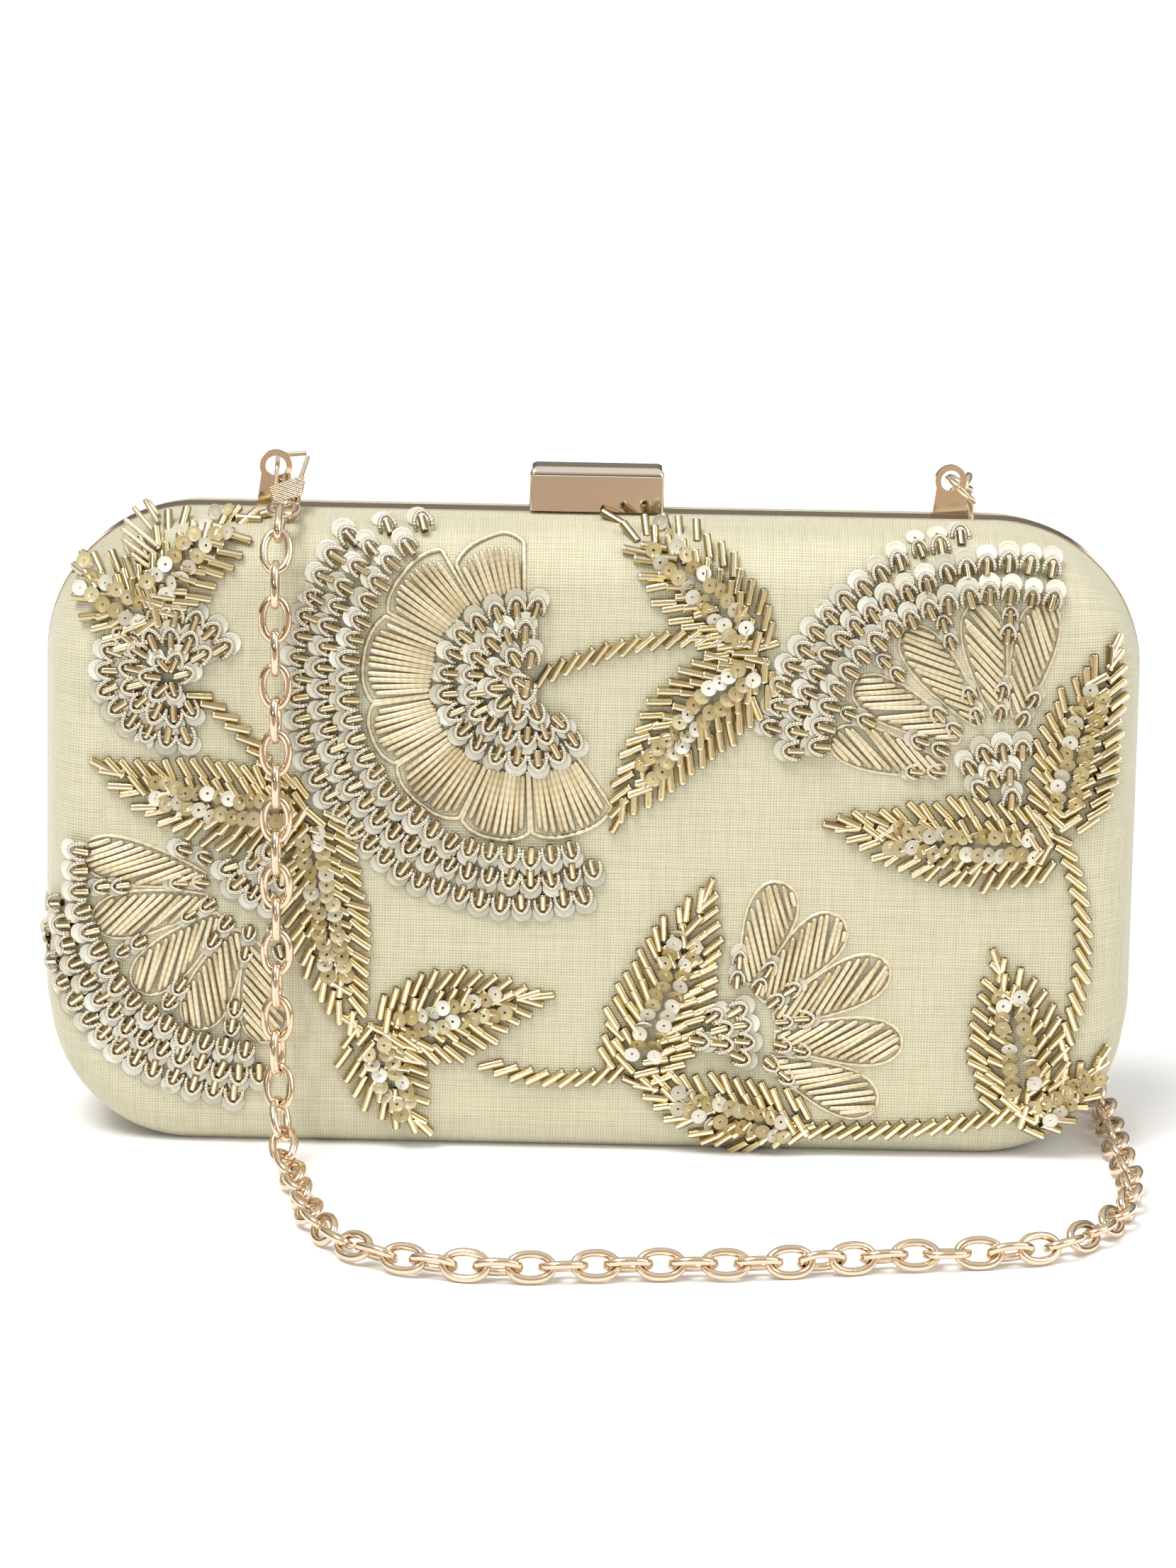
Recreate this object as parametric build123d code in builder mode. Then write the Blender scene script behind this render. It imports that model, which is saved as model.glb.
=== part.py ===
"""Evening bag: a hard box clutch with two framed shells, a bottom hinge, a sprung clasp bar and a chain.

Millimetres. +X is the wearer's right along the width, +Y points to the back, +Z is up. The origin is the
middle of the base: y = 0 is the plane where the two half frames meet, z = 0 is what the bag stands on.
"""

from build123d import *
import os
from math import cos, pi, radians, sin, tan

os.makedirs("parts", exist_ok=True)

# Overall sizes
FRAME_W = 200.0  # width over the metal frame
BAG_H = 116.0  # height from the base to the top of the frame
HALF_DEPTH = 20.0  # depth of one half, meeting plane to front face
CORNER_R = 27.5  # corner radius of the frame's outline
EDGE_R = 8.0  # rounding between the side wall and the front face
DRAFT = 0.15  # inward lean of the side and top walls, per millimetre of depth

# Frame
FRAME_PROUD = 0.5  # how far the frame stands out of the fabric, and the base drops below it
BAND_T = 0.8
BAND_DEPTH = 2.4
FLANGE_IN = 5.5
FLANGE_T = 0.8
MEETING_GAP = 0.05  # half of the gap between the two frames
FIT = 0.05

# Skins, from the outside in
COVER_T = 0.6
PADDING_T = 0.8
PADDING_MARGIN = 2.0
SHELL_T = 1.6
LINING_T = 0.5

# Slip pocket on the back lining
POCKET_W = 120.0
POCKET_H = 62.0
POCKET_GAP = 3.0
POCKET_T = 0.5
POCKET_LOW = 14.0

# Hinges
HINGE_Z = 2.2
HINGE_X = 62.0
HINGE_PIN_R = 0.6
HINGE_BORE_GAP = 0.05
KNUCKLE_R = 1.4
KNUCKLE_L = 4.0
KNUCKLE_GAP = 0.1
LEAF_T = 0.6
LEAF_TOP = 5.8
GROOVE_ANGLE = 38.0  # each side's bevel under the hinge axis
NOTCH_GAP = 0.25
RIVET_R = 0.45
RIVET_HEAD_R = 0.9
RIVET_HEAD_T = 0.35

# Clasp
BAR_W = 24.5
BAR_FRONT = 4.2
BAR_BACK = 3.4
BAR_TOP = 8.4  # above the frame
BAR_SKIRT = 0.4  # front wall's lower edge above the frame
BAR_REAR = 1.2  # rear wall's lower edge above the frame
BAR_T = 0.8
BAR_EDGE_R = 1.5
CLASP_PIN_R = 0.5
CLASP_PIN_Y = -1.2
CLASP_PIN_UP = 3.0
CLASP_BASE_W = 17.0
CLASP_BASE_D = 2.0
CLASP_BASE_H = 4.0
SPRING_W = 5.0
SPRING_WALL = 0.35
STRIKE_W = 12.0
STRIKE_H = 0.8

# Lugs, ring and clip
EYE_R = 2.95
EYE_HOLE_R = 1.9
LUG_T = 0.8
LUG_NECK = 5.0
LUG_FOOT = 6.8
LUG_FOOT_T = 0.5
LEFT_LUG = (-58.5, -1.4, 7.3)  # x, y and the eye's height over the frame
RIGHT_LUG = (64.5, 1.4, 6.4)
RIGHT_LUG_TURN = 12.0
RING_R = 3.3
WIRE_R = 0.45
CLIP_LEAN = (0.0, -0.8, -0.6)
CLIP_T = 2.2
CLIP_LOOP_R = 2.1
GATE_GAP = 0.5
GATE_PIVOT = (4.2, -4.9)
GATE_TIP_X = 5.72
GATE_EYE_R = 0.75
GATE_PIN_R = 0.35
HOOK_TIP = (5.4, 3.2)
HOOK_SHOULDER = (0.3, 2.6)
SLOT_LOW = -6.0

# Chain: outer width of the links, and its route by hand
CHAIN_R = 3.05
CHAIN_FRONT = [
    (-56.4, -11.8, 117.9),
    (-56.8, -20.6, 118.6),
    (-57.4, -28.4, 109.0),
    (-57.0, -28.8, 88.0),
    (-56.6, -28.4, 56.0),
    (-56.2, -28.9, 29.0),
    (-55.7, -31.0, 12.0),
    (-54.0, -41.0, 3.05),
    (-50.5, -57.0, 3.05),
    (-47.6, -78.0, 3.05),
    (-38.5, -96.0, 3.05),
    (-18.0, -104.5, 3.05),
    (8.0, -100.0, 3.05),
    (34.0, -98.0, 3.05),
    (58.0, -90.5, 3.05),
    (80.0, -88.0, 3.05),
    (93.5, -71.0, 3.05),
    (99.0, -48.0, 3.05),
    (97.5, -22.0, 3.05),
    (97.0, 0.0, 3.05),
]
CHAIN_BACK = [
    (97.0, 0.0, 3.05),
    (96.68, 14.0, 3.05),
    (90.0, 26.5, 6.5),
    (85.0, 28.6, 26.0),
    (80.5, 28.2, 52.0),
    (73.5, 28.6, 82.0),
    (68.6, 28.0, 107.0),
    (67.0, 19.5, 119.6),
    (66.8, 6.6, 120.4),
]

# Embroidery relief on the front face, in x and z
RELIEF_T = 1.8
RELIEF_MARGIN = 0.3
FANS = {
    "flower_main": ((-12.0, 88.0), 42.0, 115.0, 290.0),
    "flower_right": ((70.0, 76.0), 39.0, 70.0, 178.0),
    "flower_left": ((-63.0, 50.0), 40.0, 165.0, 282.0),
    "flower_low": ((22.0, 27.0), 30.0, -35.0, 62.0),
    "bud_cluster": ((-66.0, 80.0), 22.0, 95.0, 200.0),
}
LEAVES = {
    "leaf_1": ((-91.5, 104.2), (-79.8, 98.8), 5.5),
    "leaf_2": ((-66.0, 110.5), (-79.0, 103.0), 4.5),
    "leaf_3": ((-87.5, 71.5), (-53.5, 64.2), 5.5),
    "leaf_4": ((-42.0, 23.0), (-51.0, 60.5), 5.5),
    "leaf_5": ((-9.0, 29.4), (-34.0, 22.5), 6.0),
    "leaf_6": ((-30.0, 7.0), (-38.5, 20.5), 5.0),
    "leaf_7": ((8.0, 112.0), (27.5, 96.5), 5.5),
    "leaf_8": ((5.5, 63.0), (28.5, 91.0), 5.5),
    "leaf_9": ((45.0, 62.7), (80.5, 60.3), 5.5),
    "leaf_10": ((90.5, 93.5), (84.5, 67.0), 5.5),
    "leaf_11": ((74.5, 37.5), (79.5, 13.5), 6.0),
    "leaf_12": ((21.5, 49.5), (10.0, 18.5), 6.0),
    "leaf_13": ((10.0, 13.8), (36.0, 6.8), 4.5),
}
STEMS = {
    "stem_1": ((-10.0, 88.8), (6.0, 94.6), (19.0, 96.2)),
    "stem_2": ((-72.5, 85.2), (-63.0, 76.5), (-57.5, 70.5)),
    "stem_3": ((-18.5, 17.0), (-6.8, 14.3), (4.0, 15.2)),
    "stem_4": ((38.0, 10.0), (60.0, 9.8), (74.0, 10.8)),
    "stem_5": ((84.8, 58.0), (88.0, 43.0), (86.0, 24.0)),
}
STEM_W = 3.2

COVER_MID_Z = (BAG_H - FRAME_PROUD) / 2
FRAME_MID_Z = COVER_MID_Z + FRAME_PROUD
COVER_W = FRAME_W - 2 * FRAME_PROUD
COVER_H = BAG_H - FRAME_PROUD
FRAME_H = COVER_H
FLANGE_FACE = MEETING_GAP + FLANGE_T


def save(name, solid):
    solid.label = name
    export_step(solid, f"parts/{name}.step")
    return solid


def front_plane(depth):
    """A plane across the front half at this depth: local x is +X, local y is +Z, and it faces forward."""
    return Plane(origin=(0, -depth, 0), x_dir=(1, 0, 0), z_dir=(0, -1, 0))


def mirrored(solid):
    with BuildPart() as piece:
        mirror(solid, about=Plane.XZ)
    return piece.part


def frame_outline(inset, mode=Mode.ADD):
    with Locations((0, FRAME_MID_Z)):
        RectangleRounded(FRAME_W - 2 * inset, FRAME_H - 2 * inset, CORNER_R - inset, mode=mode)


def cover_outline(inset, lean=0.0, mode=Mode.ADD):
    """The fabric's outline, brought in all round by inset and at the sides and top by the draft's lean."""
    with Locations((0, COVER_MID_Z - lean / 2)):
        RectangleRounded(
            COVER_W - 2 * (inset + lean), COVER_H - 2 * inset - lean, CORNER_R - inset - lean, mode=mode
        )


def pan_block(inset):
    """The solid inside one skin: a drafted block from the frame band forward, with its front edge rounded."""
    front = HALF_DEPTH - inset
    with BuildPart() as block:
        with BuildSketch(front_plane(BAND_DEPTH)):
            cover_outline(inset)
        with BuildSketch(front_plane(front)):
            cover_outline(inset, DRAFT * (front - BAND_DEPTH))
        loft()
        fillet(block.faces().sort_by(Axis.Y)[0].edges(), EDGE_R - inset)
    return block.part


def hinge_places():
    return [(-HINGE_X, 0, HINGE_Z), (HINGE_X, 0, HINGE_Z)]


def hinge_length():
    return 3 * KNUCKLE_L + 2 * KNUCKLE_GAP


def cut_hinge_pockets(depth):
    """Room for the two hinges in a skin of the front half, called inside that skin's block."""
    for place in hinge_places():
        with Locations((place[0], 0, 0)):
            Box(
                hinge_length() + 2,
                2 * depth,
                2 * (LEAF_TOP + 1),
                mode=Mode.SUBTRACT,
            )


def make_frame():
    with BuildPart() as frame:
        with BuildSketch(front_plane(MEETING_GAP)):
            frame_outline(0)
            frame_outline(FLANGE_IN, mode=Mode.SUBTRACT)
        extrude(amount=FLANGE_T)
        with BuildSketch(front_plane(MEETING_GAP)):
            frame_outline(0)
            frame_outline(BAND_T, mode=Mode.SUBTRACT)
        extrude(amount=BAND_DEPTH - MEETING_GAP)
        groove = tan(radians(GROOVE_ANGLE)) * (HINGE_Z + 1)
        with BuildSketch(Plane.YZ):
            with BuildLine():
                Polyline((0, HINGE_Z), (0, -1), (-groove, -1), (0, HINGE_Z))
            make_face()
        extrude(amount=FRAME_W / 2, both=True, mode=Mode.SUBTRACT)
        with Locations(*hinge_places()):
            Cylinder(
                KNUCKLE_R + NOTCH_GAP,
                hinge_length() + 2 * NOTCH_GAP,
                rotation=(0, 90, 0),
                mode=Mode.SUBTRACT,
            )
        with Locations(*[(x, -FLANGE_FACE / 2, z) for x, z in rivet_places()]):
            Cylinder(RIVET_R, FLANGE_FACE * 2, rotation=(90, 0, 0), mode=Mode.SUBTRACT)
    return frame.part


def rivet_places():
    z = (HINGE_Z + KNUCKLE_R + NOTCH_GAP + LEAF_TOP) / 2
    return [(side * HINGE_X + step * KNUCKLE_L, z) for side in (-1, 1) for step in (-1, 1)]


def make_cover(outer, inner):
    with BuildPart() as cover:
        add(outer)
        add(inner, mode=Mode.SUBTRACT)
    return cover.part


def padding_outline():
    flat = EDGE_R + PADDING_MARGIN
    cover_outline(flat, DRAFT * (HALF_DEPTH - BAND_DEPTH))


def make_padding():
    with BuildPart() as padding:
        with BuildSketch(front_plane(HALF_DEPTH - COVER_T - PADDING_T)):
            padding_outline()
        extrude(amount=PADDING_T)
    return padding.part


def make_shell(outer, inner, padding):
    with BuildPart() as shell:
        add(outer)
        with BuildSketch(front_plane(FLANGE_FACE)):
            cover_outline(COVER_T)
            frame_outline(BAND_T + FIT, mode=Mode.INTERSECT)
        extrude(amount=BAND_DEPTH - FLANGE_FACE)
        add(inner, mode=Mode.SUBTRACT)
        with BuildSketch(front_plane(0)):
            cover_outline(COVER_T + SHELL_T)
        extrude(amount=BAND_DEPTH, mode=Mode.SUBTRACT)
        add(padding, mode=Mode.SUBTRACT)
        cut_hinge_pockets(BAND_DEPTH)
    return shell.part


def make_lining(outer, inner):
    with BuildPart() as lining:
        add(outer)
        with BuildSketch(front_plane(FLANGE_FACE)):
            cover_outline(COVER_T + SHELL_T)
        extrude(amount=BAND_DEPTH - FLANGE_FACE)
        add(inner, mode=Mode.SUBTRACT)
        with BuildSketch(front_plane(0)):
            cover_outline(COVER_T + SHELL_T + LINING_T)
        extrude(amount=BAND_DEPTH, mode=Mode.SUBTRACT)
        cut_hinge_pockets(BAND_DEPTH)
    return lining.part


def make_pocket():
    wall = HALF_DEPTH - COVER_T - SHELL_T - LINING_T
    with BuildPart() as pocket:
        with BuildSketch(Plane.XY.offset(POCKET_LOW)):
            with Locations((0, wall - (POCKET_GAP + POCKET_T) / 2)):
                Rectangle(POCKET_W, POCKET_GAP + POCKET_T)
            with Locations((0, wall - POCKET_GAP / 2)):
                Rectangle(POCKET_W - 2 * POCKET_T, POCKET_GAP, mode=Mode.SUBTRACT)
        extrude(amount=POCKET_H)
        with BuildSketch(Plane.XY.offset(POCKET_LOW)):
            with Locations((0, wall - (POCKET_GAP + POCKET_T) / 2)):
                Rectangle(POCKET_W, POCKET_GAP + POCKET_T)
        extrude(amount=POCKET_T)
    return pocket.part


def knuckle_spans(own_middle):
    """X offset and length of the knuckles on one leaf: the middle one, or the outer two."""
    pitch = KNUCKLE_L + KNUCKLE_GAP
    return [0.0] if own_middle else [-pitch, pitch]


def make_hinge_leaf(x, side, own_middle):
    inner = side * FLANGE_FACE
    outer = side * (FLANGE_FACE + LEAF_T)
    middle = (inner + outer) / 2
    clear_z = HINGE_Z + KNUCKLE_R + NOTCH_GAP
    bore = HINGE_PIN_R + HINGE_BORE_GAP if own_middle else HINGE_PIN_R
    with BuildPart() as leaf:
        with Locations((x, middle, (clear_z + LEAF_TOP) / 2)):
            Box(hinge_length(), LEAF_T, LEAF_TOP - clear_z)
        for step in knuckle_spans(own_middle):
            with Locations((x + step, middle, (HINGE_Z + LEAF_TOP) / 2)):
                Box(KNUCKLE_L, LEAF_T, LEAF_TOP - HINGE_Z)
            with Locations((x + step, 0, HINGE_Z)):
                Cylinder(KNUCKLE_R, KNUCKLE_L, rotation=(0, 90, 0))
        with Locations((x, 0, HINGE_Z)):
            Cylinder(bore, hinge_length() + 2, rotation=(0, 90, 0), mode=Mode.SUBTRACT)
        with Locations(*[(rx, middle, rz) for rx, rz in rivet_places() if (rx > 0) == (x > 0)]):
            Cylinder(RIVET_R, 2 * LEAF_T, rotation=(90, 0, 0), mode=Mode.SUBTRACT)
    return leaf.part


def make_hinge_pin(x):
    with BuildPart() as pin:
        with Locations((x, 0, HINGE_Z)):
            Cylinder(HINGE_PIN_R, hinge_length(), rotation=(0, 90, 0))
    return pin.part


def make_rivets():
    back = FLANGE_FACE + LEAF_T
    with BuildPart() as rivets:
        for x, z in rivet_places():
            with BuildSketch(Plane(origin=(x, -MEETING_GAP, z), z_dir=(0, -1, 0))):
                Circle(RIVET_R)
            extrude(amount=back - MEETING_GAP)
            with BuildSketch(Plane(origin=(x, -back, z), z_dir=(0, -1, 0))):
                Circle(RIVET_HEAD_R)
            extrude(amount=RIVET_HEAD_T, taper=20)
    return rivets.part


def make_clasp_base():
    z = BAG_H + CLASP_BASE_H / 2
    with BuildPart() as base:
        with Locations((0, CLASP_PIN_Y, z)):
            Box(CLASP_BASE_W, CLASP_BASE_D, CLASP_BASE_H)
        with Locations((0, CLASP_PIN_Y, z + LUG_FOOT_T)):
            Box(SPRING_W, CLASP_BASE_D, CLASP_BASE_H, mode=Mode.SUBTRACT)
        with Locations((0, CLASP_PIN_Y, BAG_H + CLASP_PIN_UP)):
            Cylinder(CLASP_PIN_R + FIT, CLASP_BASE_W + 2, rotation=(0, 90, 0), mode=Mode.SUBTRACT)
    return base.part


def make_clasp_bar():
    depth = BAR_FRONT + BAR_BACK
    middle = (BAR_BACK - BAR_FRONT) / 2
    with BuildPart() as bar:
        with BuildSketch(Plane.YZ.offset(-BAR_W / 2)):
            with BuildLine():
                Polyline(
                    (-BAR_FRONT, BAG_H + BAR_SKIRT),
                    (BAR_BACK, BAG_H + BAR_REAR),
                    (BAR_BACK, BAG_H + BAR_TOP),
                    (-BAR_FRONT, BAG_H + BAR_TOP),
                    (-BAR_FRONT, BAG_H + BAR_SKIRT),
                )
            make_face()
        extrude(amount=BAR_W)
        fillet(bar.edges().filter_by(Axis.Z), BAR_EDGE_R / 2)
        fillet(bar.faces().sort_by(Axis.Z)[-1].edges().filter_by(Axis.X), BAR_EDGE_R)
        with Locations((0, middle, BAG_H + (BAR_TOP - BAR_T) / 2)):
            Box(BAR_W - 2 * BAR_T, depth - 2 * BAR_T, BAR_TOP - BAR_T, mode=Mode.SUBTRACT)
        with Locations((0, CLASP_PIN_Y, BAG_H + CLASP_PIN_UP)):
            Cylinder(CLASP_PIN_R, BAR_W - BAR_T, rotation=(0, 90, 0), mode=Mode.SUBTRACT)
    return bar.part


def make_clasp_pin():
    with BuildPart() as pin:
        with Locations((0, CLASP_PIN_Y, BAG_H + CLASP_PIN_UP)):
            Cylinder(CLASP_PIN_R, BAR_W - BAR_T, rotation=(0, 90, 0))
    return pin.part


def make_clasp_spring():
    outer = CLASP_PIN_R + 2 * FIT + SPRING_WALL
    with BuildPart() as spring:
        with Locations((0, CLASP_PIN_Y, BAG_H + CLASP_PIN_UP)):
            Cylinder(outer, SPRING_W - 4 * FIT, rotation=(0, 90, 0))
            Cylinder(CLASP_PIN_R + 2 * FIT, SPRING_W, rotation=(0, 90, 0), mode=Mode.SUBTRACT)
        leg_y = CLASP_PIN_Y + outer - SPRING_WALL / 2
        leg_low = BAG_H + LUG_FOOT_T
        leg_top = BAG_H + CLASP_PIN_UP
        with Locations((0, leg_y, (leg_low + leg_top) / 2)):
            Box(SPRING_WALL, SPRING_WALL, leg_top - leg_low)
    return spring.part


def make_strike():
    near = MEETING_GAP + 2 * FIT
    with BuildPart() as strike:
        with BuildSketch(Plane.YZ.offset(-STRIKE_W / 2)):
            with BuildLine():
                Polyline(
                    (near, BAG_H),
                    (BAND_DEPTH, BAG_H),
                    (BAND_DEPTH, BAG_H + STRIKE_H / 2),
                    (near, BAG_H + STRIKE_H),
                    (near, BAG_H),
                )
            make_face()
        extrude(amount=STRIKE_W)
    return strike.part


def make_lug(place, turn):
    x, y, up = place
    depth = BAND_DEPTH - 4 * FIT
    along = (cos(radians(turn)), sin(radians(turn)), 0)
    facing = (sin(radians(turn)), -cos(radians(turn)), 0)
    plane = Plane(origin=(x, y, BAG_H), x_dir=along, z_dir=facing)
    with BuildPart() as lug:
        with BuildSketch(plane.offset(-LUG_T / 2)):
            with BuildLine():
                Polyline(
                    (-LUG_FOOT / 2, 0),
                    (LUG_FOOT / 2, 0),
                    (LUG_NECK / 2, up),
                    (-LUG_NECK / 2, up),
                    close=True,
                )
            make_face()
            with Locations((0, up)):
                Circle(EYE_R)
                Circle(EYE_HOLE_R, mode=Mode.SUBTRACT)
        extrude(amount=LUG_T)
        side = 1 if y > 0 else -1
        with Locations((x, side * (MEETING_GAP + FIT + depth / 2), BAG_H + LUG_FOOT_T / 2)):
            Box(LUG_FOOT, depth, LUG_FOOT_T)
    return lug.part


def make_jump_ring():
    x, y, up = RIGHT_LUG
    lean = Vector(0.60, 0.52, -0.61).normalized()
    thread = Vector(sin(radians(RIGHT_LUG_TURN)), -cos(radians(RIGHT_LUG_TURN)), 0)
    normal = lean.cross(thread).normalized()
    centre = Vector(x, y, BAG_H + up) + lean * RING_R
    with BuildPart() as ring:
        add(Solid.make_torus(RING_R, WIRE_R, Plane(origin=centre, z_dir=normal)))
    return ring.part


def clip_plane():
    """The clip's own plane at the left eye: local x is +X, local y points back up the clip."""
    x, y, up = LEFT_LUG
    down = Vector(*CLIP_LEAN)
    return Plane(origin=(x, y, BAG_H + up), x_dir=(1, 0, 0), z_dir=Vector(1, 0, 0).cross(-down))


def make_clip_body():
    plane = clip_plane()
    with BuildPart() as body:
        with BuildSketch(plane.offset(-CLIP_T / 2)):
            with BuildLine():
                Polyline((-0.9, -6.2), (5.4, -3.1), (4.7, -8.4), (0.2, -9.9), (-0.9, -6.2))
            make_face()
        extrude(amount=CLIP_T)
        fillet(body.edges().filter_by(lambda e: e.length < CLIP_T + FIT), 4 * FIT)
        with BuildSketch(plane.offset(-WIRE_R)):
            with Locations((2.3, -10.9)):
                Circle(CLIP_LOOP_R + WIRE_R)
                Circle(CLIP_LOOP_R - WIRE_R, mode=Mode.SUBTRACT)
        extrude(amount=2 * WIRE_R)
        with BuildSketch(plane.offset(-WIRE_R - FIT)):
            with Locations((GATE_PIVOT[0] + 1, SLOT_LOW / 2)):
                Rectangle(4, -SLOT_LOW)
        extrude(amount=2 * (WIRE_R + FIT), mode=Mode.SUBTRACT)
        with BuildSketch(plane.offset(-CLIP_T)):
            with Locations(GATE_PIVOT):
                Circle(GATE_PIN_R + FIT)
        extrude(amount=2 * CLIP_T, mode=Mode.SUBTRACT)
    return body.part


def swept_wire(path, radius):
    with BuildPart() as wire:
        with BuildLine() as route:
            add(path)
        with BuildSketch(Plane(origin=route.line @ 0, z_dir=route.line % 0)):
            Circle(radius)
        sweep()
    return wire.part


def clip_wire(points, radii):
    """A bent wire in the clip's plane, its corners rounded."""
    plane = clip_plane()
    placed = [plane.from_local_coords(Vector(px, py, 0)) for px, py in points]
    if len(placed) == 2:
        return swept_wire(Line(*placed), WIRE_R)
    return swept_wire(FilletPolyline(*placed, radius=radii), WIRE_R)


def make_clip_hook():
    return clip_wire([(0.1, -6.3), HOOK_SHOULDER, HOOK_TIP], [0.9])


def make_clip_gate():
    """A wire with a flat eye that turns on its pin in the fork of the clip's body."""
    plane = clip_plane()
    with BuildPart() as gate:
        add(clip_wire([GATE_PIVOT, (GATE_TIP_X, HOOK_TIP[1] - WIRE_R - GATE_GAP)], []))
        for radius, half in ((GATE_EYE_R, WIRE_R), (GATE_PIN_R, CLIP_T / 2)):
            with BuildSketch(plane.offset(-half)):
                with Locations(GATE_PIVOT):
                    Circle(radius)
            extrude(amount=2 * half)
    return gate.part


def cord_radii(points):
    """For each corner, 0.45 of the shorter run over the tangent of half the turn."""
    radii = []
    for a, b, c in zip(points, points[1:], points[2:]):
        before, after = Vector(*b) - Vector(*a), Vector(*c) - Vector(*b)
        turn = before.get_angle(after)
        radii.append(0.45 * min(before.length, after.length) / tan(radians(turn / 2)))
    return radii


def make_chain(name, points):
    radii = cord_radii(points)
    path = FilletPolyline(*points, radius=radii)
    tube = swept_wire(path, CHAIN_R)
    print(name, "length", round(path.length, 1), "radii", [round(r, 1) for r in radii])
    print(name, "volume", round(tube.volume), "section x length", round(pi * CHAIN_R**2 * path.length))
    return tube


def relief_region():
    flat = EDGE_R + RELIEF_MARGIN
    cover_outline(flat, DRAFT * (HALF_DEPTH - BAND_DEPTH), mode=Mode.INTERSECT)


def fan_edges(centre, radius, start, end):
    """A sector: an arc and the two straight sides back to its centre."""
    arc = CenterArc(centre, radius, start, end - start)
    return [arc, Line(arc @ 1, centre), Line(centre, arc @ 0)]


def leaf_edges(tip, foot, half_width):
    """A spindle: two arcs that meet at the tip and the foot."""
    along = Vector(foot[0] - tip[0], foot[1] - tip[1]).normalized()
    across = Vector(-along.Y, along.X) * half_width
    middle = Vector((tip[0] + foot[0]) / 2, (tip[1] + foot[1]) / 2)
    return [ThreePointArc(tip, middle + across, foot), ThreePointArc(foot, middle - across, tip)]


def stem_edges(*points):
    """A narrow band along the points, square to each run's neighbours at the corners."""
    line = [Vector(*point) for point in points]
    first, last = [], []
    for before, point, after in zip([line[0]] + line, line, line[1:] + [line[-1]]):
        along = (after - before).normalized()
        across = Vector(-along.Y, along.X) * (STEM_W / 2)
        first.append(point + across)
        last.insert(0, point - across)
    return [Polyline(*first, *last, close=True)]


def make_relief(edges, taken):
    """One raised motif on the front face, cut back where an earlier motif already lies."""
    with BuildPart() as motif:
        with BuildSketch(front_plane(HALF_DEPTH)):
            with BuildLine():
                add(edges)
            make_face()
            relief_region()
        extrude(amount=RELIEF_T)
        for other in taken:
            add(other, mode=Mode.SUBTRACT)
    return motif.part


cover_block = pan_block(0)
shell_block = pan_block(COVER_T)
lining_block = pan_block(COVER_T + SHELL_T)
room_block = pan_block(COVER_T + SHELL_T + LINING_T)
padding_plate = make_padding()

halves = {
    "frame": make_frame(),
    "cover": make_cover(cover_block, shell_block),
    "padding": padding_plate,
    "shell": make_shell(shell_block, lining_block, padding_plate),
    "lining": make_lining(lining_block, room_block),
    "hinge_rivets": make_rivets(),
}
for name, solid in halves.items():
    save(f"front_{name}", solid)
    save(f"back_{name}", mirrored(solid))
save("slip_pocket", make_pocket())

for side, x in (("left", -HINGE_X), ("right", HINGE_X)):
    save(f"hinge_leaf_front_{side}", make_hinge_leaf(x, -1, False))
    save(f"hinge_leaf_back_{side}", make_hinge_leaf(x, 1, True))
    save(f"hinge_pin_{side}", make_hinge_pin(x))

save("clasp_base", make_clasp_base())
save("clasp_bar", make_clasp_bar())
save("clasp_pin", make_clasp_pin())
save("clasp_spring", make_clasp_spring())
save("clasp_strike", make_strike())

save("lug_left", make_lug(LEFT_LUG, 0))
save("lug_right", make_lug(RIGHT_LUG, RIGHT_LUG_TURN))
save("jump_ring", make_jump_ring())
save("clip_body", make_clip_body())
save("clip_hook", make_clip_hook())
save("clip_gate", make_clip_gate())
save("chain_front", make_chain("chain_front", CHAIN_FRONT))
save("chain_back", make_chain("chain_back", CHAIN_BACK))

motifs = []
for edges, group in ((fan_edges, FANS), (leaf_edges, LEAVES), (stem_edges, STEMS)):
    for name, arguments in group.items():
        motif = make_relief(edges(*arguments), motifs)
        motifs.append(save(name, motif))
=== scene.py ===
"""Evening bag: two silk covered half shells in a gold frame, sewn with beads and bullion, and its chain."""

import math

import bmesh
import bpy
import numpy as np
from mathutils import Matrix, Vector


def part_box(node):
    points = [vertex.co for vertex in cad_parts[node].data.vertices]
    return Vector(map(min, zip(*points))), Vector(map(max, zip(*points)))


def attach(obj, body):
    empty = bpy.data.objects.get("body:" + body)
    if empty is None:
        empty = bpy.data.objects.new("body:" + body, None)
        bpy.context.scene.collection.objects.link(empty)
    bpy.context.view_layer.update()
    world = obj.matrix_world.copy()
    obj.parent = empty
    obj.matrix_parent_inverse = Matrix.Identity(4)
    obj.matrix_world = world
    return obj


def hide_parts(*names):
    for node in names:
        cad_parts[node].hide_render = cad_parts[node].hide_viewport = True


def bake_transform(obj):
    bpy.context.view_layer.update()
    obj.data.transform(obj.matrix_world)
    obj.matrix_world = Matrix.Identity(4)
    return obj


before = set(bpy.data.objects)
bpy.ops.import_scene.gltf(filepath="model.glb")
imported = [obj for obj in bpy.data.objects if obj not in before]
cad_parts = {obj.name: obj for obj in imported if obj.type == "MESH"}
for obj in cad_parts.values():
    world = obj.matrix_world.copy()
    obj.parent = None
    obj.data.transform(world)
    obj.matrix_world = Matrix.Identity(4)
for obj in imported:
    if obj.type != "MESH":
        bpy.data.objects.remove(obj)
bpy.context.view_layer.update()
scene = bpy.context.scene
scene.view_settings.view_transform = "Standard"
MM = 0.001

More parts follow.
